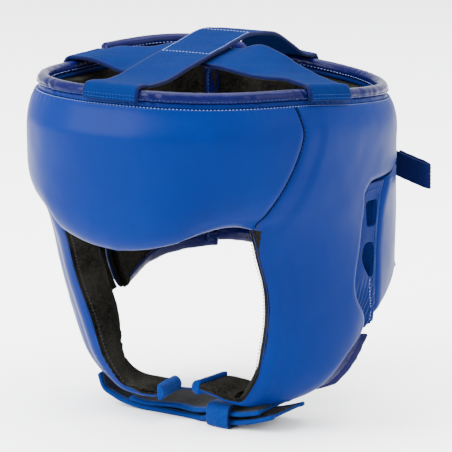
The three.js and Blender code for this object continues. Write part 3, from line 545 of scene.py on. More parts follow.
# %% Cloth, suede, tapes and threads
def cloth_finish(
    name, base, deep, roughness, weave, nap, sheen=0.0, tint=(1, 1, 1), raise_by=0.00025
):
    constants = {
        "Sheen Weight": sheen, "Sheen Roughness": 0.5, "Sheen Tint": (*tint, 1), "Specular IOR Level": 0.03,
    }
    material, place, feed = finish_of(name, constants)
    strokes = place.noise(42, 4, 0.62)
    hairs = place.noise(weave, 4, 0.7)
    specks = place.cells(weave * 0.8)
    tone = (strokes * (0.9 * nap) + hairs * 0.6 + specks * 0.25 - (0.45 * nap - 0.1)).between(0.2, 0.75)
    feed("Base Color", tone.blend(deep, base))
    feed("Roughness", roughness + (hairs - 0.5) * 0.12)
    feed("Normal", (hairs * 0.6 + specks * 0.4).bump(raise_by, 0.8, strokes.bump(0.0012, 0.4)))
    return material


SKY = (0.3, 0.5, 1)
strap_cloth = cloth_finish(
    "strap_cloth_blue", (0.0004, 0.0085, 0.056), (0.0002, 0.0048, 0.034),
    roughness=0.9, weave=900, nap=0.5,
)
strap_edge = cloth_finish(
    "strap_edge_navy", (0.0008, 0.0030, 0.034), (0.0004, 0.0014, 0.016),
    roughness=0.7, weave=1100, nap=0.3, sheen=0.03,
)
tape_edge = cloth_finish(
    "tape_edge_blue", (0.0008, 0.0150, 0.100), (0.0004, 0.0070, 0.055),
    roughness=0.75, weave=1000, nap=0.3, sheen=0.05, tint=SKY,
)
hook_tape = cloth_finish(
    "hook_tape_navy", (0.0008, 0.0014, 0.009), (0.0003, 0.0005, 0.003),
    roughness=0.8, weave=520, nap=0.2, sheen=0.02, raise_by=0.0008,
)
loop_tape = cloth_finish(
    "loop_tape_grey", (0.0090, 0.0090, 0.0100), (0.0014, 0.0014, 0.0014),
    roughness=0.95, weave=700, nap=0.6, sheen=0.05, raise_by=0.0008,
)
suede = cloth_finish(
    "suede_olive_grey", (0.0095, 0.0090, 0.0072), (0.0006, 0.0006, 0.0005),
    roughness=0.97, weave=620, nap=1.2, raise_by=0.0006,
)


def thread_finish(name, base, deep):
    material, place, feed = finish_of(name, {"Specular IOR Level": 0.1})
    twist = place.noise(2400, 2)
    feed("Base Color", twist.blend(deep, base))
    feed("Roughness", 0.55 + (twist - 0.5) * 0.2)
    feed("Normal", twist.bump(0.0001, 0.6))
    return material


threads = {
    "pale": thread_finish("thread_pale_blue", (0.16, 0.20, 0.36), (0.07, 0.10, 0.24)),
    "blue": thread_finish("thread_blue", (0.004, 0.020, 0.120), (0.002, 0.010, 0.060)),
    "navy": thread_finish("thread_navy", (0.0010, 0.0022, 0.018), (0.0005, 0.0010, 0.008)),
    "black": thread_finish("thread_black", (0.012, 0.012, 0.014), (0.004, 0.004, 0.005)),
}
print(len(bpy.data.materials), "finishes")

# %% [markdown]
# ## Brow pad
# The brow is the thickest panel: moulded foam of about 25 mm in the middle, thinner towards
# the temples, with the leather pulled round its lower edge. A simulation would swell it like a
# pillow, while the real one is firm, so it is a grid: the face rounds over a 20 mm reach at the
# brow, less at its corners, and dips about 2 mm into the two seams.

# %% Where the brow panel lies
BROW_END = 0.362
BROW_TURN, CORNER_TURN, SEAM_TURN = 20, 8, 5


def facing(angle):
    return np.maximum(np.cos(np.radians(angle)), 0) ** 2


def brow_place(u, v):
    """Angle and run of a place across and down the brow panel."""
    side = 2 * u - 1
    lowest = 1 - read(BROW_LINE, "along", np.abs(side), "level")
    seam = read(SECTIONS, "run", v * BROW_END, "start") - angle_of(SEAM_CLEARANCE)
    return side * seam, v * lowest


def brow_pad_depth(angle, run):
    return mix(SIDE_PAD, BROW_PAD, facing(angle)) * read(SECTIONS, "run", run, "pad")


def line_of(place, u, v):
    angle, run = place(np.asarray(u, float), np.asarray(v, float))
    return skin(angle, run)


print("the brow panel ends at", line_of(brow_place, [0.5, 1], [1, 1]).round(1).tolist())


# %% Brow pad
u, v = np.meshgrid(crowd(150), spans(0, 0.12, 10, 0.8, 34, 1, 26))
angle, run = brow_place(u, v)
base = skin(angle, run)
many = np.linspace(0, 1, 90)
to_brow = way_to(base, line_of(brow_place, many, np.ones(90)))
to_seam = np.minimum(
    way_to(base, line_of(brow_place, np.zeros(90), many)),
    way_to(base, line_of(brow_place, np.ones(90), many)),
)
corner = ease(0.6, 1, np.abs(2 * u - 1))
edge = mix(mix(0.5, 0.8, corner), 1, rounding(to_brow, mix(BROW_TURN, CORNER_TURN, corner)))
edge = edge * mix(0.9, 1, rounding(to_seam, SEAM_TURN))
full = brow_pad_depth(angle, run)
dents = 0.35 * rough(base, 42, 3) + 0.12 * rough(base, 15, 5)
pucker = 0.25 * hump(run * PAD_TOP, 0, 4) * np.sin(angle * 2.2 + 2 * rough(base, 20, 1))
surface = under(angle, run, full * (1 - edge) - dents * rounding(to_brow, BROW_TURN) + pucker)
brow = shell("brow_pad_leather", surface, under(angle, run, full), [leather], bulge=0.5)
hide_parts("brow_pad")
print("brow pad", len(brow.data.polygons), "faces")

# %% [markdown]
# ## Cheek pads
# Each cheek pad starts at the brow seam, runs down past the ear and turns in under the jaw as
# a flap. Behind the seam the foam insert begins, which shows as a soft ridge; the front edge is
# rolled, and small creases gather where the flap turns in. The pad's arm over the ear ends in a
# clean rounded edge. All of that is relief on the same grid. The lining is wrapped round the
# front edge, so only a few millimetres of leather are left there before the suede begins.

# %% Where the cheek panels lie
SPLIT_RUN = 0.31
LAST_RUN = 1.19
RUNS = spans(0, 0.04, 6, SPLIT_RUN, 26, LAST_RUN, 96)


def side_place(side, arm_end, retreat):
    """Place function of a cheek panel: u is 0 at the front, 1 at the ear and 2 at the arm's end."""

    def place(u, v):
        seam = np.where(v < BROW_END, angle_of(SEAM_CLEARANCE), 0)
        start = read(SECTIONS, "run", v, "start") + seam
        stop = read(SECTIONS, "run", v, "stop")
        stop = stop - angle_of(retreat) * (1 - ease(0.93, 1.02, v))
        arm = mix(stop, arm_end, u - 1)
        lowest = read(ARM_LINE, "angle", arm, "run") - retreat / PAD_TOP
        angle = np.where(u > 1, arm, mix(start, stop, np.minimum(u, 1)))
        return side * angle, np.where(u > 1, v * lowest / SPLIT_RUN, v)

    return place


def cheek_layers(angle, run):
    """Thickness of the cheek's pad and of its lining, which fills in where the pad rolls over."""
    side = np.abs(angle)
    full = mix(SIDE_PAD, BROW_PAD, facing(angle) * (1 - ease(0.25, 0.45, run)))
    full = full * read(SECTIONS, "run", run, "pad")
    way = np.radians(side - read(SECTIONS, "run", run, "start")) * HALF_WIDTH
    rolled = ease(0.34, 0.42, run) * (1 - ease(0.92, 1.05, run))
    pad = full * mix(1, mix(0.42, 1, rounding(way, 14)), rolled)
    cushion = read(SECTIONS, "run", run, "cushion") * (1 - ease(60, 80, side))
    return pad, full - pad + LINING * (read(SECTIONS, "run", run, "lining") + cushion)


def side_lines(place):
    """The panel's edges: brow seam, face opening, ear and arm, and the flap's end."""
    down = np.linspace(0, 1, 160)
    seam = line_of(place, np.zeros(60), np.linspace(0, BROW_END, 60))
    front = line_of(place, np.zeros(160), mix(BROW_END, LAST_RUN, down))
    ear = line_of(place, np.ones(160), mix(SPLIT_RUN, LAST_RUN, down))
    low = line_of(place, np.linspace(1, 2, 50), np.full(50, SPLIT_RUN - 1e-6))
    end = line_of(place, np.full(40, 2.0), np.linspace(0, SPLIT_RUN - 1e-6, 40))
    flap = line_of(place, np.linspace(0, 1, 40), np.full(40, LAST_RUN))
    return {"seam": seam, "front": front, "ear": np.vstack([end, low[::-1], ear]), "flap": flap}


print("cheek pad and lining at the middle of the cheek", cheek_layers(70.0, 0.5))


# %% Cheek pads
CHEEK_COLUMNS = 58
COLUMNS = np.concatenate([crowd(CHEEK_COLUMNS), spans(1, 1.12, 6, 1.75, 16, 2, 14)[1:]])
KEEP = (np.arange(len(COLUMNS) - 1)[None] < CHEEK_COLUMNS) | (RUNS[:-1, None] < SPLIT_RUN - 1e-6)
LEATHER_SHOWN, WRAPPED, WRAP_END = 3.4, 9, 1.1

for label, side, arm_end in (("left", 1, ARM_END_LEFT), ("right", -1, ARM_END_RIGHT)):
    place = side_place(side, arm_end, 0)
    u, v = np.meshgrid(COLUMNS, RUNS)
    angle, run = place(u, v)
    base = skin(angle, run)
    way = {key: way_to(base, line) for key, line in side_lines(place).items()}
    low = ease(0.72, 0.8, run)
    front_share = mix(0.36, 0.6, ease(1.0, 1.15, run))
    edge = mix(front_share, 1, rounding(way["front"], 11)) * mix(
        mix(0.72, 0.45, low), 1, rounding(way["ear"], mix(5, 10, low))
    )
    edge = edge * mix(0.9, 1, rounding(way["seam"], 5)) * mix(0.7, 1, rounding(way["flap"], 6))
    full = cheek_layers(angle, run)[0]
    foam = ease(11, 19, way["seam"] + 60 * ease(0.36, 0.5, run)) * (1 - ease(0.33, 0.45, run))
    insert = 1.1 * (1 - foam) * (1 - ease(0.34, 0.46, run)) * ease(0.0, 0.05, run)
    roll = 0.9 * hump(way["front"], 12.5, 4.5) * ease(0.38, 0.5, run) * (1 - ease(0.95, 1.05, run))
    turn = hump(run, 0.88, 0.05) * hump(way["front"], 0, 14)
    creases = 0.5 * turn * np.sin(run * PAD_TOP * 1.5 + 0.25 * way["front"] + 2 * rough(base, 12, 4))
    dents = 0.4 * rough(base, 38, 7 + side) + 0.12 * rough(base, 13, 9)
    nearest = np.minimum(way["front"], way["ear"])
    drop = full * (1 - edge) + insert + roll + creases - dents * rounding(nearest, 16)
    wrapped = (drop > LEATHER_SHOWN) & (way["front"] < WRAPPED) & (run > BROW_END) & (run < WRAP_END)
    pad = shell(
        f"side_pad_{label}_leather", under(angle, run, drop), under(angle, run, full),
        [leather, suede, leather], keep=KEEP, bulge=0.5, turned_in=1, lined=wrapped,
    )
    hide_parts(f"side_pad_{label}")
    print(pad.name, len(pad.data.polygons), "faces")

# %% [markdown]
# ## Back wings
# The wing behind the left ear goes all round the back of the head and laps over the shorter
# right one, so that the headgear can be drawn tighter. Both are thinner foam. The free end of
# the inner wing shows inside the head opening, where its edge is bound. They could be one bent
# band each, but a cheek's arm reaches over them at the ear, so their grids have a step there.

# %% Where the wings lie
WING_SPLIT, ARM_GAP = 0.29, 0.004


def lowest_run(angle):
    return 1 - read(NECK_LINE, "angle", angle, "level") * NECK_HEIGHT / PAD_TOP


def wing_place(side, arm_end, end, retreat):
    """Place function of a wing: u is -1 at the ear, 0 at the arm's end and 1 at the free end."""
    tail = arm_end + angle_of(CLEARANCE) + 0.2

    def place(u, v):
        beyond = mix(tail, end, np.maximum(u, 0))
        share = (v - WING_SPLIT) / (1 - WING_SPLIT)
        level = mix(WING_LINE["run"][0], WING_LINE["run"][-1], share)
        front = np.minimum(read(WING_LINE, "run", level, "angle"), tail - 1) + angle_of(retreat)
        front = np.minimum(front, tail - 0.5)
        angle = np.where(u < 0, mix(tail, front, -np.minimum(u, 0)), beyond)
        lowest = lowest_run(angle)
        inside = read(ARM_LINE, "angle", np.minimum(angle, ARM_END_LEFT), "run") + ARM_GAP
        inside = np.where(u < 0, inside, read(ARM_LINE, "angle", min(tail, ARM_END_LEFT), "run") + ARM_GAP)
        joined = mix(inside, lowest, share)
        bent = np.where(v < WING_SPLIT, inside * v / WING_SPLIT, joined)
        near = np.where(u < 0, 1, 1 - ease(0, 0.3, u))
        return side * angle, np.where(u < 0, joined, mix(v * lowest, bent, near))

    return place


def outer_share(angle):
    return ease(190, 208, angle)


def outer_wing_depth(angle, run):
    pad = mix(BACK_PAD, WING_PAD, outer_share(angle)) * read(SECTIONS, "run", np.minimum(run, 0.6), "pad")
    return pad, mix(LINING, WING_LINING, outer_share(angle)), WING_OUTSET * outer_share(angle)


INNER_INSET = WING_PAD + WING_LINING - WING_OUTSET + 3 * LAYER_CLEARANCE


def inner_wing_depth(angle, run):
    flat = np.ones_like(angle)
    return INNER_WING_PAD * flat, (WING_LINING - CLEARANCE) * flat, -INNER_INSET * flat


WINGS = {
    "outer": (1, ARM_END_LEFT, OUTER_WING_END, outer_wing_depth, 150),
    "inner": (-1, ARM_END_RIGHT, INNER_WING_END, inner_wing_depth, 46),
}
WING_ROWS = spans(0, WING_SPLIT, 22, 0.85, 36, 1, 22)
print("the inner wing lies", round(INNER_INSET, 1), "mm in")

# %% Back wings
FREE_TURN, FRONT_TURN = 10, 7
for label, (side, arm_end, end, depth, count) in WINGS.items():
    columns = np.concatenate([spans(-1, -0.6, 8, 0, 10), spans(0, 0.9, count, 1, 14)[1:]])
    place = wing_place(side, arm_end, end, 0)
    u, v = np.meshgrid(columns, WING_ROWS)
    keep = (columns[None, :-1] > -1e-6) | (WING_ROWS[:-1, None] > WING_SPLIT - 1e-6)
    angle, run = place(u, v)
    base = skin(angle, run)
    down = np.linspace(0, 1, 80)
    neck = line_of(place, mix(-1, 1, np.linspace(0, 1, 160)), np.ones(160))
    free = line_of(place, np.ones(80), down)
    front = line_of(place, -np.ones(60), mix(WING_SPLIT, 1, np.linspace(0, 1, 60)))
    edge = mix(0.35, 1, rounding(way_to(base, neck), FREE_TURN))
    edge = edge * mix(0.35, 1, rounding(way_to(base, free), FREE_TURN))
    edge = edge * mix(0.5, 1, rounding(way_to(base, front), FRONT_TURN))
    full, _, outset = depth(side * angle, run)
    dents = 0.45 * rough(base, 36, 21) + 0.12 * rough(base, 12, 23)
    keep_edge = rounding(np.minimum(way_to(base, neck), way_to(base, free)), 14)
    surface = under(angle, run, full * (1 - edge) - outset - dents * keep_edge)
    wing = shell(
        f"back_wing_{label}_leather", surface, under(angle, run, full - outset),
        [leather, suede, leather], keep=keep, bulge=0.5, turned_in=2,
    )
    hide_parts(f"back_wing_{label}")
    print(wing.name, len(wing.data.polygons), "faces")

# %% [markdown]
# ## Linings
# Inside, each panel has its own lining of napped suede cloth over soft foam. It is what shows
# along the face opening and inside the far cheek, where it folds as the flap turns in. The
# grids are the panels' own, set behind them, and puffed towards the head between the edges.

# %% Making a lining
def lining_piece(name, node, place, u, v, pad_depth, keep, edges, folds=None, bulge=0.6):
    """Lining behind a panel: swells inwards, creased by folds."""
    angle, run = place(u, v)
    pad, lining = pad_depth(angle, run)
    base = skin(angle, run)
    way = way_to(base, edges)
    top = pad + LAYER_CLEARANCE
    swell = mix(0.45, 1, rounding(way, 9)) * lining
    nap = 0.28 * rough(base, 9, 31) + 0.14 * rough(base, 3.2, 33)
    relief = nap if folds is None else nap + folds(base, angle, run, way)
    made = shell(
        name, under(angle, run, top), under(angle, run, top + swell + relief * rounding(way, 6)),
        [suede], keep=keep, bulge=bulge,
    )
    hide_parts(node)
    print(name, len(made.data.polygons), "faces")


# %% Brow lining
u, v = np.meshgrid(crowd(110), crowd(60, 0.5))
edge_line = np.vstack([
    line_of(brow_place, np.zeros(40), np.linspace(0, 1, 40)),
    line_of(brow_place, np.linspace(0, 1, 80), np.ones(80)),
    line_of(brow_place, np.ones(40), np.linspace(1, 0, 40)),
])
lining_piece(
    "brow_lining_suede", "brow_lining", brow_place, u, v,
    lambda angle, run: (brow_pad_depth(angle, run), LINING * np.ones_like(run)), None, edge_line,
)


# %% Cheek linings
def cheek_folds(base, angle, run, way):
    """Creases where the lining bends in under the jaw."""
    bend = hump(run, 0.83, 0.012) + 0.7 * hump(run + 0.0006 * way, 0.885, 0.008)
    fan = hump(run, 0.86, 0.07) * np.sin(0.55 * base[..., 1] + 1.1 * base[..., 2])
    pull = hump(run + 0.0012 * way, 0.80, 0.02) * np.sin(0.9 * base[..., 2] - 0.5 * base[..., 1])
    bent = -2.6 * bend * ease(2, 16, way) - 0.8 * fan * ease(0, 10, way) - 0.8 * pull
    return bent + 0.7 * rough(base, 17, 41)


def front_bulge(row, column):
    """How far the lining's wall stands out: more where it shows along the face opening."""
    shows = column < CHEEK_COLUMNS // 3 + 1 and RUNS[row] < 1.12
    return 0.4 + 1.9 * float(ease(0.37, 0.42, RUNS[row])) * shows


for label, side, arm_end in (("left", 1, ARM_END_LEFT), ("right", -1, ARM_END_RIGHT)):
    place = side_place(side, arm_end, LINING_RETREAT)
    lines = side_lines(place)
    u, v = np.meshgrid(COLUMNS, RUNS)
    lining_piece(
        f"side_lining_{label}_suede", f"side_lining_{label}", place, u, v, cheek_layers, KEEP,
        np.vstack([lines["seam"], lines["front"], lines["flap"], lines["ear"][::-1]]),
        cheek_folds, front_bulge,
    )


# %% Wing linings
def behind(depth, side):
    """Where a wing's lining starts and how thick it is, as a function of the place."""

    def layers(angle, run):
        pad, lining, outset = depth(side * angle, run)
        return pad - outset, lining

    return layers


for label, (side, arm_end, end, depth, count) in WINGS.items():
    columns = np.concatenate([spans(-1, 0, 10), spans(0, 0.9, count * 2 // 3, 1, 10)[1:]])
    place = wing_place(side, arm_end, end, LINING_RETREAT)
    rows = spans(0, WING_SPLIT, 14, 1, 40)
    u, v = np.meshgrid(columns, rows)
    keep = (columns[None, :-1] > -1e-6) | (rows[:-1, None] > WING_SPLIT - 1e-6)
    rim = np.vstack([
        line_of(place, mix(-1, 1, np.linspace(0, 1, 120)), np.ones(120)),
        line_of(place, np.ones(60), np.linspace(1, 0, 60)),
    ])
    lining_piece(
        f"back_wing_{label}_lining_suede", f"back_wing_{label}_lining", place, u, v,
        behind(depth, side), keep, rim,
    )

# %% [markdown]
# ## Bindings of the wings
# The wings' lower edges and the free end of the inner one are closed with the same film as the
# rim, folded over pad and lining and sewn through. It shows inside the head opening. A curve
# with a round bevel would be quicker, but it would be a cord and not a fold. So the fold's
# section is a short list of places, in from the edge and down through the two layers.

# %% Wing bindings
def fold_over(name, node, angles, runs, in_angle, in_run, pad, lining, outset, reach=8):
    """Film folded over an edge. in_angle and in_run lead in from the edge for each millimetre."""
    path = [
        (reach, -0.7 + 0 * pad), (0.6 * reach, 0.05 * pad), (0.25 * reach, 0.3 * pad), (0.0, 0.6 * pad),
        (-0.9, pad), (-0.9, pad + 0.4 * lining), (0.0, pad + 1 + 0.45 * lining),
        (0.25 * reach, pad + 1 + 0.7 * lining), (0.6 * reach, pad + 0.9 + 0.95 * lining),
        (reach, pad + 1.3 + lining),
    ]
    outer = np.stack([
        under(angles + in_angle * way, runs + in_run * way, depth - outset) for way, depth in path
    ], 1)
    core = under(
        angles + in_angle * 0.7 * reach, runs + in_run * 0.7 * reach, (pad + lining) / 2 - outset
    )[:, None]
    outer = outer + 0.25 * rough(outer, 7, 121)[..., None] * unit(outer - core)
    made = shell(name, outer, outer + 0.9 * unit(core - outer), [binding], steps=1)
    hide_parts(node)
    return outer


for label, (side, arm_end, end, depth, count) in WINGS.items():
    turned = np.linspace(arm_end + 1.5, end, 3 * count)
    pad, lining, outset = depth(turned, 0.55 + 0 * turned)
    fold_over(
        f"back_wing_{label}_neck_binding", f"back_wing_{label}", side * turned, lowest_run(turned),
        0.0, -1 / PAD_TOP, pad, lining, outset,
    )
down = np.linspace(0.01, lowest_run(INNER_WING_END) - 0.012, 90)
free_end = fold_over(
    "back_wing_inner_end_binding", "back_wing_inner", -INNER_WING_END + 0 * down, down,
    angle_of(1.0), 0.0, INNER_WING_PAD + 0 * down, WING_LINING + 0 * down, -INNER_INSET + 0 * down, 10,
)
sew(
    "blue", mix(free_end[:, 8], free_end[:, 9], 0.3), free_end[:, 9] - free_end[:, 0],
    pitch=2.6, width=0.6,
)
print("the inner wing's binding runs to", free_end[-1, 0].round(1))

# %% [markdown]
# ## Ear panels
# Between cheek and wing a single thin leather bridges the ear, so it gathers in fine upright
# creases. Two vents are punched through it, with rounded corners; the lower one is a half
# moon. The sheet is a grid, and the vents are cut by a Boolean with a rounded punch, as
# a die would do it.

# %% Where the ear panels lie
EAR_TOP, EAR_LOW, EAR_RISE, EAR_RISE_FROM = 0.31, 0.735, 0.33, 0.64
EAR_SINK, EAR_THIN = 4.6, 0.6


def ear_place(arm_end, wing_end, wing_sink):
    """Place function of an ear panel: u from the cheek to the wing, v down from the arm."""
    wing = wing_place(1, arm_end, wing_end, 0)
    down = np.linspace(WING_SPLIT, 1, 60)
    wing_angles, wing_runs = wing(-np.ones(60), down)

    def place(u, v):
        level = mix(EAR_TOP, EAR_LOW, v)
        rise = EAR_RISE * np.maximum(level - EAR_RISE_FROM, 0)
        front = read(SECTIONS, "run", level, "stop") + angle_of(PANEL_GAP)
        rear = np.interp(level - rise, wing_runs, wing_angles) - angle_of(PANEL_GAP)
        angle = mix(front, rear, u)
        top = read(ARM_LINE, "angle", angle, "run") + PANEL_GAP / PAD_TOP
        run = level - rise * u + (top - EAR_TOP) * (1 - ease(0, 0.12, v))
        return angle, run, mix(EAR_SINK, wing_sink, u)

    return place


def gathers(angle, run, base):
    """Creases of the ear leather, deepest below the vents."""
    low = ease(0.54, 0.63, run)
    wave = np.sin(angle * 2.9 + run * 40 + 2.4 * rough(base, 16, 51))
    fine = np.sin(angle * 6.5 + run * 75 + 2.0 * rough(base, 9, 53))
    return low * (0.42 * wave + 0.14 * fine) + 0.02 * fine + 0.3 * rough(base, 12, 55)


# %% A punch for the vents
VENT_LINE = table(
    "run start stop",
    (0.335, 93.2, 99.9), (0.410, 92.9, 98.2), (0.455, 91.2, 97.2), (0.510, 90.5, 97.1),
    (0.560, 94.0, 96.9),
)
VENTS = ((0.335, 0.410, False), (0.455, 0.560, True))
PUNCH_OUT, PUNCH_IN = 8, 22


def punch(side, top, bottom, moon):
    """A closed prism through the ear panel with the outline of one vent, between two runs."""
    middle, half = (top + bottom) / 2, (bottom - top) / 2
    outline = []
    for a in np.linspace(0, 2 * math.pi, 48, endpoint=False):
        power = 0.5 if moon else 0.36
        x = math.copysign(abs(math.cos(a)) ** power, math.cos(a))
        z = math.copysign(abs(math.sin(a)) ** power, math.sin(a))
        run = middle + half * z
        start, stop = (float(read(VENT_LINE, "run", run, key)) for key in ("start", "stop"))
        outline.append((mix(start, stop, (x + 1) / 2), run))
    near = [under(side * a, run, -PUNCH_OUT) for a, run in outline]
    far = [under(side * a, run, PUNCH_IN) for a, run in outline]
    count = len(outline)
    faces = [[k, (k + 1) % count, count + (k + 1) % count, count + k] for k in range(count)]
    faces += [list(range(count))[::-1], list(range(count, 2 * count))]
    points = near + far
    mesh = bpy.data.meshes.new("punch")
    mesh.from_pydata((np.array(points) * 0.001).tolist(), [], facing_out(points, faces))
    made = bpy.data.objects.new("punch", mesh)
    bpy.context.scene.collection.objects.link(made)
    return made


def only(piece):
    """Deselects everything and makes one piece the active one."""
    bpy.ops.object.select_all(action="DESELECT")
    piece.select_set(True)
    bpy.context.view_layer.objects.active = piece


print(2 * len(VENTS), "vents")


# %% Ear panels
ear_panels = {}
for label, side, arm_end, wing_end, wing_sink in (
    ("left", 1, ARM_END_LEFT, OUTER_WING_END, PANEL_GAP),
    ("right", -1, ARM_END_RIGHT, INNER_WING_END, INNER_INSET + PANEL_GAP),
):
    place = ear_place(arm_end, wing_end, wing_sink)
    ear_panels[label] = place
    share, down = np.meshgrid(np.linspace(0, 1, 60), np.linspace(0, 1, 150))
    angle, run, sink = place(share, down)
    base = skin(angle, run)
    middle = np.clip(np.sin(np.pi * share), 0, 1) ** 0.5
    crease = gathers(angle, run, base) * middle
    near = under(side * angle, run, sink - crease)
    far = under(side * angle, run, sink + LEATHER - EAR_THIN - crease)
    panel = shell(f"ear_panel_{label}_leather", near, far, [leather_thin, suede, suede], steps=2)
    for vent in VENTS:
        tool = punch(side, *vent)
        cut = panel.modifiers.new("vent", "BOOLEAN")
        cut.operation, cut.solver, cut.object = "DIFFERENCE", "EXACT", tool
        only(panel)
        bpy.ops.object.modifier_apply(modifier=cut.name)
        bpy.data.objects.remove(tool)
    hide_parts(f"ear_panel_{label}")
    print(panel.name, len(panel.data.polygons), "faces")

# %% [markdown]
# ## Rim
# Above the pads' stitch line the leathers are drawn together into a narrow skirt, and a strip
# of glossy film is folded over the edge and sewn through. A strip that goes round a curve
# has more length than it needs on one side, so it puckers. Both are one outline carried
# round the rim, with the puckers added as they go.

# %% Points of the rim
RIM_INSET = 0.5 * SIDE_PAD * SECTIONS["pad"][0] + 1
RIM_TOP = RIM_SKIRT + CLEARANCE + RIM_BINDING
BINDING_SWELL = 1.5


def rim_point(angle, height, depth):
    """Point of the rim: height over the stitch line, depth inward from the rim's middle."""
    angle, height, depth = np.broadcast_arrays(*(np.asarray(k, float) for k in (angle, height, depth)))
    base = skin(angle, 0.0)
    side = unit(base * (1, 1, 0))
    inner = INNER_INSET * (1 - ease(-ARM_END_RIGHT - 7, -ARM_END_RIGHT + 2, angle))
    inset = RIM_INSET + inner - WING_OUTSET * outer_share(angle)
    return base - side * (inset + depth)[..., None] + height[..., None] * np.array([0, 0, 1.0])


print("the rim's top is at", rim_point(0, RIM_TOP, 0).round(1), "in front")


# %% Outlines carried round the rim
def swept(name, profile, angles, materials, relief=None):
    """Closed outline of (depth, height) pairs carried round the rim, capped at both ends."""
    profile = np.array(profile, float)
    grid = rim_point(angles[:, None], profile[None, :, 1], profile[None, :, 0])
    if relief is not None:
        grid = grid + relief(grid, angles, profile)
    rows, columns = grid.shape[:2]
    faces = [
        [j * columns + i, j * columns + (i + 1) % columns,
         (j + 1) * columns + (i + 1) % columns, (j + 1) * columns + i]
        for j in range(rows - 1) for i in range(columns)
    ]
    faces += [list(range(columns))[::-1], [(rows - 1) * columns + k for k in range(columns)]]
    points = grid.reshape(-1, 3)
    return build(name, points, facing_out(points, faces), materials)


def puckers(amount, pitch, seed):
    """Relief across the rim: creases that lean and come and go."""

    def relief(grid, angles, profile):
        out = unit(skin(angles, 0.0) * (1, 1, 0))[:, None]
        ups = (profile[:, 1] - profile[:, 1].min()) / np.ptp(profile[:, 1])
        phase = angles[:, None] * (11.4 / pitch) + 2.6 * ups[None]
        patch = ease(-0.1, 0.7, rough(grid, 26, seed))
        wave = np.sin(phase + 3 * rough(grid, 30, seed + 2)) * patch
        wave = wave + 0.6 * rough(grid, 7, seed + 5)
        return out * (amount * wave)[..., None] * np.where(profile[:, 0] < 0, 1, 0.7)[None, :, None]

    return relief


# %% Rim skirt and binding
RIM_ANGLES = np.linspace(-INNER_WING_END, OUTER_WING_END, 760)
half = RIM_THICKNESS / 2
skirt = swept(
    "rim_skirt_leather",
    [(-half - 0.5, 0.35), (-half, 1.2), (-half + 0.15, 2.2), (-half + 0.2, RIM_SKIRT),
     (half - 0.2, RIM_SKIRT), (half, 1.8), (half, 0.35)],
    RIM_ANGLES, [leather_thin], puckers(0.28, 5.0, 61),
)
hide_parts("rim_skirt")

half = (RIM_THICKNESS + BINDING_SWELL) / 2
low, high = RIM_SKIRT + CLEARANCE, RIM_TOP
tape = swept(
    "rim_binding_film",
    [(-half + 0.4, low), (-half, low + 0.7), (-half - 0.1, low + 2.2), (-half + 0.1, low + 3.8),
     (-half + 1.0, high - 1.0), (-half + 2.3, high - 0.15), (0, high + 0.1), (half - 2.3, high - 0.15),
     (half - 1.0, high - 1.0), (half - 0.1, low + 3.8), (half, low + 2.2), (half, low + 0.7),
     (half - 0.4, low)],
    RIM_ANGLES, [binding], puckers(0.5, 6.5, 71),
)
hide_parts("rim_binding")
print("rim", len(skirt.data.polygons) + len(tape.data.polygons), "faces")

# %% [markdown]
# ## Straps
# The crown straps are brushed cloth over webbing, each with a navy selvedge, turned over the
# rim and sewn to its outside. Cloth this stiff keeps its width, so a strap is a ribbon
# through guide lines that lie side by side along it. A simulation would bring nothing that the
# guide lines don't already say, and flat straps don't survive remeshing.

# %% Curves and ribbons
CROWN_WIDTH, CROWN_THICKNESS = 38, 2.4
CHIN_WIDTH, CHIN_THICKNESS = 42, 2.6
SELVEDGE = 0.275


def smooth_line(points, count):
    """Even samples of a centripetal Catmull-Rom curve, count to a guide point."""
    p = np.asarray(points, float)
    p = np.vstack([2 * p[0] - p[1], p, 2 * p[-1] - p[-2]])
    made = []
    for k in range(1, len(p) - 2):
        a, b, c, d = p[k - 1 : k + 3]
        t1 = max(np.linalg.norm(b - a) ** 0.5, 1e-4)
        t2 = max(np.linalg.norm(c - b) ** 0.5, 1e-4)
        t3 = max(np.linalg.norm(d - c) ** 0.5, 1e-4)
        m1 = t2 * ((b - a) / t1 - (c - a) / (t1 + t2) + (c - b) / t2)
        m2 = t2 * ((c - b) / t2 - (d - b) / (t2 + t3) + (d - c) / t3)
        s = np.linspace(0, 1, count, endpoint=False)[:, None]
        made.append(
            (2 * s**3 - 3 * s**2 + 1) * b + (s**3 - 2 * s**2 + s) * m1
            + (3 * s**2 - 2 * s**3) * c + (s**3 - s**2) * m2
        )
    return np.vstack(made + [p[-2:-1]])


def ribbon_grid(lines, per_guide, across, lowest=None):
    """Grid of a ribbon through lines side by side: rows along it and columns across."""
    traces = np.array([smooth_line(line, per_guide) for line in lines])
    if lowest is not None:
        traces[..., 2] = np.maximum(traces[..., 2], lowest)
    at = np.linspace(0, len(lines) - 1, across + 1)
    low = np.clip(at.astype(int), 0, len(lines) - 2)
    share = (at - low)[:, None, None]
    if len(lines) > 2:
        share = mix(share, share * share * (3 - 2 * share), 0.35)
    grid = traces[low] * (1 - share) + traces[low + 1] * share
    return grid.transpose(1, 0, 2)


def grid_normals(grid):
    along = np.gradient(grid, axis=0)
    across = np.gradient(grid, axis=1)
    return unit(np.cross(across, along))


def ribbon(
    name, lines, thickness, materials, relief, per_guide=6, across=16, lowest=None, hem=0
):
    """Closed ribbon under the given lines, with a rounded selvedge. Gives its upper face too."""
    grid = ribbon_grid(lines, per_guide, across, lowest)
    up = grid_normals(grid)
    top = grid + up * relief(grid)[..., None]
    made = shell(name, top, grid - up * thickness, materials, bulge=SELVEDGE * thickness, hem=hem)
    return made, top, up


print("crown straps", CROWN_WIDTH, "mm wide and chin straps", CHIN_WIDTH)


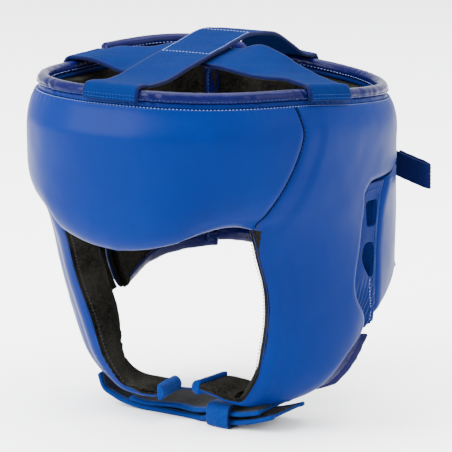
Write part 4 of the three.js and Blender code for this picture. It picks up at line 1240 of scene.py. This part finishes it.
# %% Lines of the crown straps
LONG_FRONT_ANGLE, LONG_REAR_ANGLE, LONG_SLACK = -1, 184.5, 0.6
CROSS_LEFT_ANGLE, CROSS_RIGHT_ANGLE, CROSS_SLACK = 70.5, -90, 0.8
SEWN_DOWN = 6


def over_rim(angle, slack):
    """Guide points from outside the rim, over it and in."""
    out = (RIM_THICKNESS + BINDING_SWELL) / 2 + slack + CROWN_THICKNESS
    over = RIM_TOP + slack + CROWN_THICKNESS
    return [
        rim_point(angle, RIM_TOP - SEWN_DOWN, -out),
        rim_point(angle, RIM_TOP - 2, -out),
        rim_point(angle, over - 0.6, -0.6 * out),
        rim_point(angle, over, 0.2 * out),
    ]


LONG_LINE = table(
    "reach level",
    (-0.79, 1.052), (-0.64, 1.052), (-0.46, 1.068), (-0.29, 1.083), (-0.14, 1.093), (0.02, 1.107),
    (0.15, 1.116), (0.33, 1.108), (0.49, 1.092), (0.65, 1.052), (0.79, 1.014),
)
CROSS_LINE = table(
    "across front rear",
    (0.80, 1.047, 1.030), (0.70, 1.054, 1.042), (0.58, 1.050, 1.064), (0.46, 1.050, 1.088),
    (0.34, 1.055, 1.104), (0.25, 1.060, 1.100), (0.16, 1.063, 1.086), (0.00, 1.064, 1.086),
    (-0.20, 1.056, 1.082), (-0.30, 1.042, 1.085), (-0.40, 1.020, 1.072), (-0.52, 1.010, 1.058),
    (-0.64, 1.024, 1.052), (-0.76, 1.034, 1.046),
)


def long_edge(side):
    half = side * CROWN_WIDTH / 2
    start = over_rim(LONG_FRONT_ANGLE + side * angle_of(CROWN_WIDTH / 2, FRONT_REACH), LONG_SLACK)
    finish = over_rim(LONG_REAR_ANGLE - side * angle_of(CROWN_WIDTH / 2, BACK_REACH), LONG_SLACK)[::-1]
    a, b = start[-1], finish[0]
    free = []
    for reach, level in zip(LONG_LINE["reach"], LONG_LINE["level"]):
        y = reach * (FRONT_REACH if reach < 0 else BACK_REACH)
        x = mix(a[0] - half, b[0] - half, (y - a[1]) / (b[1] - a[1])) + half
        free.append(np.array([x, y, level * PAD_TOP]))
    return [*start, *free, *finish]


def cross_edge(side):
    half = side * angle_of(CROWN_WIDTH / 2)
    start = over_rim(CROSS_LEFT_ANGLE + half, CROSS_SLACK)
    finish = over_rim(CROSS_RIGHT_ANGLE - half, CROSS_SLACK)[::-1]
    a, b = start[-1], finish[0]
    free = []
    for across, front, rear in zip(*CROSS_LINE.values()):
        x = across * HALF_WIDTH
        y = mix(a[1], b[1], (x - a[0]) / (b[0] - a[0]))
        free.append(np.array([x, y, mix(front, rear, (side + 1) / 2) * PAD_TOP]))
    return [*start, *free, *finish]


# %% Crown straps
def cloth_relief(amount, seed):
    """Slight unevenness of cloth, as a function of a ribbon's grid."""
    return lambda grid: amount * (rough(grid, 14, seed) + 0.4 * rough(grid, 5, seed + 1))


crown = {}
for label, edge_of, offsets in (
    ("long", long_edge, (-1, 0, 1)), ("cross", cross_edge, (-1, -0.4, 0.4, 1)),
):
    strap, top, up = ribbon(
        f"crown_strap_{label}_cloth", [edge_of(k) for k in offsets], CROWN_THICKNESS,
        [strap_cloth, strap_cloth, strap_edge], cloth_relief(0.25, 81), across=26, hem=1,
    )
    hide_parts(f"crown_strap_{label}")
    crown[label] = (top, up)
    middle = top[:, top.shape[1] // 2]
    print(strap.name, round(np.linalg.norm(np.diff(middle, axis=0), axis=1).sum()), "mm long")

# %% [markdown]
# ## Chin strap
# Under the chin two tapes lap: the lower one is hook tape and the upper one loop tape, both
# bound along their edges with a lighter blue tape. A cloth keeper holds them together. The
# binding of each edge is a ribbon of its own, folded round the tape's edge.

# %% Lines of the chin straps
LOWER_STRAP = table(
    "across level middle skew",
    (-0.645, 7.6, 0.20, 0.15), (-0.617, 4.5, 0.19, 0.12), (-0.57, 3.3, 0.18, 0.08),
    (-0.51, 2.2, 0.17, 0.04), (-0.42, 1.3, 0.16, 0), (-0.35, 1.0, 0.16, 0), (-0.25, 1.0, 0.18, 0),
    (0.00, 1.0, 0.27, 0), (0.06, 1.0, 0.32, 0), (0.10, 1.4, 0.36, 0), (0.14, 1.85, 0.39, 0),
    (0.24, 1.9, 0.46, 0), (0.33, 1.95, 0.49, 0), (0.42, 2.5, 0.50, 0), (0.52, 3.5, 0.49, 0),
    (0.58, 4.3, 0.48, 0),
)
UPPER_STRAP = table(
    "across level middle skew",
    (-0.45, 2.9, 0.16, 0), (-0.35, 2.3, 0.17, 0), (-0.20, 2.7, 0.20, 0), (-0.10, 3.0, 0.24, 0),
    (0.02, 2.8, 0.29, 0), (0.14, 3.6, 0.38, 0), (0.24, 3.9, 0.46, 0), (0.36, 4.1, 0.50, 0),
    (0.46, 4.8, 0.50, 0), (0.50, 5.2, 0.50, 0),
)


def chin_line(rows, side):
    return [
        np.array([
            (across - skew * (side + 1) / 2) * HALF_WIDTH,
            (side / 2 - middle) * CHIN_WIDTH,
            level * CHIN_THICKNESS,
        ])
        for across, level, middle, skew in zip(*rows.values())
    ]


print("the lower strap reaches from", *(LOWER_STRAP["across"][[0, -1]] * HALF_WIDTH).round(), "mm")


# %% Chin straps
TAPE_THICKNESS, TAPE_SHARE, TAPE_SINK = 1.8, 0.93, 0.4


def on_floor(piece):
    """Lifts what the curves let sink below the floor."""
    spots = np.empty(3 * len(piece.data.vertices))
    piece.data.vertices.foreach_get("co", spots)
    spots[2::3] = np.maximum(spots[2::3], 0)
    piece.data.vertices.foreach_set("co", spots)
    piece.data.update()


def bound_strap(name, rows, node, face, back):
    """A tape with a binding folded round each long edge."""
    lines = [chin_line(rows, TAPE_SHARE), chin_line(rows, -TAPE_SHARE)]
    for line in lines:
        for point in line:
            point[2] -= TAPE_SINK
    body, top, _ = ribbon(
        f"{name}_tape", lines, TAPE_THICKNESS, [face, back, tape_edge], cloth_relief(0.12, 91),
        lowest=CHIN_THICKNESS - TAPE_SINK,
    )
    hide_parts(node)
    on_floor(body)
    for label, low, high in (("rear", 1, 0.82), ("front", -0.82, -1)):
        fold = ribbon(
            f"{name}_binding_{label}", [chin_line(rows, low), chin_line(rows, high)], CHIN_THICKNESS,
            [tape_edge], cloth_relief(0.1, 93), across=8, lowest=CHIN_THICKNESS,
        )[0]
        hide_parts(node)
        on_floor(fold)
    middle = top[:, top.shape[1] // 2]
    print(name, round(np.linalg.norm(np.diff(middle, axis=0), axis=1).sum()), "mm long")


bound_strap("chin_strap_lower", LOWER_STRAP, "chin_strap_lower", hook_tape, strap_edge)
bound_strap("chin_strap_upper", UPPER_STRAP, "chin_strap_upper", loop_tape, strap_edge)

# %% Chin keeper
KEEPER_WIDTH, KEEPER_THICKNESS, KEEPER_PLACE, KEEPER_EASE = 17, 1.8, 24, 2.4
TURN = [(0.02, 1), (0.92, 1), (1.0, 0.6), (1.0, 0.3), (0.92, 0)]
TURN = TURN + [(-way, rise) for way, rise in TURN[::-1]]


def keeper_line(x):
    middle = -read(LOWER_STRAP, "across", x / HALF_WIDTH, "middle") * CHIN_WIDTH
    half = CHIN_WIDTH / 2 + KEEPER_EASE + KEEPER_THICKNESS
    high = read(UPPER_STRAP, "across", x / HALF_WIDTH, "level") * CHIN_THICKNESS
    top = high + 4 * CLEARANCE + KEEPER_THICKNESS
    return [np.array([x, middle + way * half, top * rise]) for way, rise in TURN]


keeper_lines = [keeper_line(KEEPER_PLACE + k * KEEPER_WIDTH) for k in (-0.5, 0, 0.5)]
keeper = ribbon(
    "chin_keeper_cloth", keeper_lines, KEEPER_THICKNESS, [tape_edge, tape_edge, strap_edge],
    cloth_relief(0.2, 95),
)[0]
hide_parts("chin_keeper")
on_floor(keeper)
print("keeper", len(keeper.data.polygons), "faces")

# %% [markdown]
# ## Small sewn pieces
# A bound strip stands out behind the lower edge of each cheek, a folded binding closes each
# flap's end, and a ribbed loop on the back wing helps to pull the headgear on. Strip and
# binding follow the cheek, so they are made on its skin like a panel. The loop is free of
# it and is a ribbon, folded back on itself.

# %% Jaw strips
JAW_TOP, JAW_END, JAW_DEEP, JAW_THICKNESS, JAW_FLARE = 0.745, 0.965, 0.32, 2.6, 3.8
JAW_LINE = table("run reach", (0.76, 6.0), (0.80, 8.0), (0.86, 8.5), (0.91, 8.0), (0.96, 4.5))


def jaw_strip(label, side):
    share, run = np.meshgrid(np.linspace(0, 1, 22), np.linspace(JAW_TOP, JAW_END, 60))
    stop = read(SECTIONS, "run", run, "stop") + angle_of(PANEL_GAP)
    angle = stop + share * read(JAW_LINE, "run", run, "reach")
    sink = JAW_DEEP * SIDE_PAD * read(SECTIONS, "run", run, "pad")
    base = skin(angle, run)
    fold = 0.5 * hump(share, 0.62, 0.05) - 0.35 * hump(share, 0.9, 0.12)
    ripple = 0.15 * share * np.sin(run * PAD_TOP * 0.9 + 2 * rough(base, 14, 101))
    flare = JAW_FLARE * share**1.5 * (1 - ease(0.9, 0.96, run))
    near = under(side * angle, run, sink + fold + ripple - flare)
    far = under(side * angle, run, sink + JAW_THICKNESS + ripple - flare)
    strip = shell(f"jaw_strip_{label}_film", near, far, [binding], bulge=0.7)
    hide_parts(f"jaw_strip_{label}")
    return strip


# %% Chin tabs
TAB_START, TAB_END, TAB_TURN = LAST_RUN + CLEARANCE / PAD_TOP, LAST_RUN + 0.045, 0.042
TAB_WRAP, TAB_FOLD = 0.9, 0.12


def chin_tab(label, side):
    share, run = np.meshgrid(np.linspace(0, 1, 40), np.linspace(TAB_START, TAB_END, 14))
    start, stop = read(SECTIONS, "run", run, "start"), read(SECTIONS, "run", run, "stop")
    angle = side * mix(start, stop, share)
    pad, lining = cheek_layers(90, run)
    fold = mix(TAB_FOLD, 1, rounding(TAB_END - run, TAB_TURN))
    thick = pad + LAYER_CLEARANCE + lining + TAB_WRAP
    middle = (thick - TAB_WRAP) / 2
    puff = 0.25 * rough(skin(angle, run), 7, 103)
    near = under(angle, run, middle - (middle + TAB_WRAP) * fold - puff)
    far = under(angle, run, middle + (thick - middle) * fold + puff)
    tab = shell(f"chin_tab_{label}_tape", near, far, [tape_edge], bulge=0.5)
    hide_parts(f"chin_tab_{label}")
    return tab


for label, side in (("left", 1), ("right", -1)):
    for made in (jaw_strip(label, side), chin_tab(label, side)):
        print(made.name, len(made.data.polygons), "faces")

# %% Pull loop
LOOP_WIDTH, LOOP_THICKNESS, LOOP_REACH = 15, 1.6, 24
LOOP_ANGLE, LOOP_HEIGHT, LOOP_DROOP = 138.5, 148, 8
loop_base = under(LOOP_ANGLE, 1 - LOOP_HEIGHT / PAD_TOP, -2 * CLEARANCE)
spread = LOOP_THICKNESS + CLEARANCE


def loop_edge(side):
    made = []
    for share, back in (
        (0, 0), (0.4, 0.5), (0.9, 2.2), (1, 3 + spread), (0.9, 3 + 2 * spread),
        (0.4, 2 + 2 * spread), (0.1, 1.5 + 2 * spread),
    ):
        z = LOOP_HEIGHT - LOOP_DROOP * share + side * LOOP_WIDTH / 2
        made.append(np.array([loop_base[0] + share * LOOP_REACH, loop_base[1] + back, z]))
    return made


def ribs(grid):
    return 0.16 * np.sin((grid[..., 0] * 0.7 + grid[..., 2]) * 2.6)


loop = ribbon(
    "pull_loop_webbing", [loop_edge(1), loop_edge(-1)], LOOP_THICKNESS, [strap_edge], ribs,
    per_guide=12, across=26,
)[0]
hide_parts("pull_loop")
print("pull loop", len(loop.data.polygons), "faces")

# %% [markdown]
# ## Sewing
# Each line of stitches follows what it holds: pale thread where the skirt meets the pads and
# through the inside of the rim, blue through the binding, navy in the brow seams, black along
# the cheeks' lining, blue and pale on the ear panels, and blue and pale again on the crown
# straps. A bump in the finish would be cheaper, but thread casts a shadow and stands out at
# the outline, so every stitch is a bead, laid on lines of the same skin and ribbons.

# %% Rim stitches
SKIRT_SEAM, OUTER_SEAM, INNER_SEAM, SEAM_HEIGHT = -4.6, -3.95, 3.8, RIM_SKIRT + 1.5
turned = np.linspace(-100, 250, 900)
out = unit(skin(turned, 0.0) * (1, 1, 0))
sew(
    "pale", rim_point(turned, 0.15, SKIRT_SEAM), np.array([[0, 0, 1.0]]) + 0.8 * out,
    pitch=2.2, length=1.4, width=0.5,
)
sew("blue", rim_point(turned, SEAM_HEIGHT, OUTER_SEAM), out, pitch=2.6, width=0.5)
sew("pale", rim_point(turned, SEAM_HEIGHT, INNER_SEAM), -out, pitch=2.6, width=0.5)
print(len(sewn["pale"]), "pale lines so far")

# %% Stitches of the pads and ear panels
for side in (1, -1):
    runs = np.linspace(0.004, 0.357, 120)
    angles = side * read(SECTIONS, "run", runs, "start")
    depth = brow_pad_depth(angles, runs) * 0.1
    sew("navy", under(angles, runs, depth - 0.1), outward(angles, runs), pitch=2.5, length=2.1, width=0.8)
for label, side in (("left", 1), ("right", -1)):
    runs = np.linspace(0.375, 1.05, 300)
    starts = read(SECTIONS, "run", runs, "start")
    pad = cheek_layers(starts, runs)[0]
    edge_line = under(side * (starts - 0.9), runs, pad + 1.2)
    sew("black", edge_line, edge_line - under(side * (starts + 8), runs, pad), pitch=2.4, width=0.7)
    down = np.linspace(0.06, 0.97, 120)
    for across, first, thread in ((0.9, 0, "blue"), (0.72, 70, "pale")):
        angle, run, sink = ear_panels[label](across + 0 * down[first:], down[first:])
        sew(thread, under(side * angle, run, sink - 0.15), outward(side * angle, run))
    across = np.linspace(0.08, 0.95, 40)
    angle, run, sink = ear_panels[label](across, 0.035 + 0 * across)
    sew("blue", under(side * angle, run, sink - 0.15), outward(side * angle, run))
print({name: sum(len(k) for k in rows) // len(BEAD) for name, rows in sewn.items()}, "stitches")

# %% Crown strap sewing
CROSSING_FRONT, CROSSING_REAR = -30, 22

for top, up in crown.values():
    rows = len(top)
    for end in (slice(2, 3), slice(5, 6), slice(rows - 3, rows - 2), slice(rows - 6, rows - 5)):
        line = top[end][0][1:-1]
        sew("blue", line + up[end][0][1:-1] * 0.05, up[end][0][1:-1], pitch=2.2, length=1.5, width=0.5)
top, up = crown["long"]
columns = top.shape[1]
spots = (CROSSING_FRONT, CROSSING_REAR)
near, far = sorted(np.argmin(np.abs(top[:, columns // 2, 1] - y)) for y in spots)
box = [(r, 1) for r in range(near, far)] + [(far, c) for c in range(1, columns - 2)]
box += [(r, columns - 2) for r in range(far, near, -1)] + [(near, c) for c in range(columns - 2, 0, -1)]
line = np.array([top[k] for k in box])
ups = np.array([up[k] for k in box])
sew("pale", line + ups * 0.05, ups, pitch=2.3, length=1.6, width=0.5)
print("the crossing is sewn with", near, "to", far, "as its rows")

# %% Make the thread pieces
for thread, parts in sewn.items():
    points = np.vstack(parts)
    count = len(points) // len(BEAD)
    faces = [[k * len(BEAD) + i for i in face] for k in range(count) for face in BEAD_FACES]
    made = build(f"stitches_{thread}", points, faces, [threads[thread]])
    print(made.name, count, "stitches")

# %% [markdown]
# ## Floor and light
# The studio is a white sweep under large soft lights. A big one stands on the left, where the
# brow has its broad soft reflection, a weak one on the right opens the shade at the ear, and
# the largest hangs overhead. The pale sky fills in the rest. Spot lights would be simpler,
# but satin leather shows the shape of what lights it, so these are wide and square.

# %% Floor
bpy.ops.object.select_all(action="DESELECT")
bpy.ops.mesh.primitive_plane_add(size=14, location=(0, 2, -0.0004))
floor = bpy.context.object
floor.name = "floor"
bpy.ops.object.transform_apply(location=True)
floor_white, floor_place, floor_feed = finish_of("floor_white", {"Specular IOR Level": 0.2})
floor_feed("Base Color", floor_place.noise(3, 2).blend((0.93, 0.93, 0.94), (0.95, 0.95, 0.95)))
floor_feed("Roughness", 0.7 + floor_place.noise(60, 2) * 0.1)
floor.data.materials.append(floor_white)
floor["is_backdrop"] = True

# %% Lights
world = bpy.data.worlds.new("studio")
world.use_nodes = True
sky = world.node_tree.nodes["Background"].inputs
sky["Color"].default_value, sky["Strength"].default_value = (0.95, 0.97, 1, 1), 2.2
bpy.context.scene.world = world


def softbox(name, place, aim, size, power, colour=(1, 1, 1)):
    data = bpy.data.lights.new(name, "AREA")
    data.shape, data.size, data.size_y = "RECTANGLE", *size
    data.energy, data.color = power, colour
    made = bpy.data.objects.new(name, data)
    made.location = place
    made.rotation_euler = (Vector(aim) - Vector(place)).to_track_quat("-Z", "Y").to_euler()
    bpy.context.scene.collection.objects.link(made)


softbox("key_light", (-1.1, -1.5, 1.25), (0, 0, 0.15), (1.7, 1.7), 190, (0.95, 0.96, 1))
softbox("side_light", (1.7, 0.1, 0.9), (0, 0, 0.12), (1.2, 1.2), 26)
softbox("top_light", (0, 0.2, 1.9), (0, 0, 0.1), (2.2, 2.2), 150)
print(len(bpy.data.lights), "lights")

low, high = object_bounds()
print("visual box", [round(v, 4) for v in (*low, *high)])
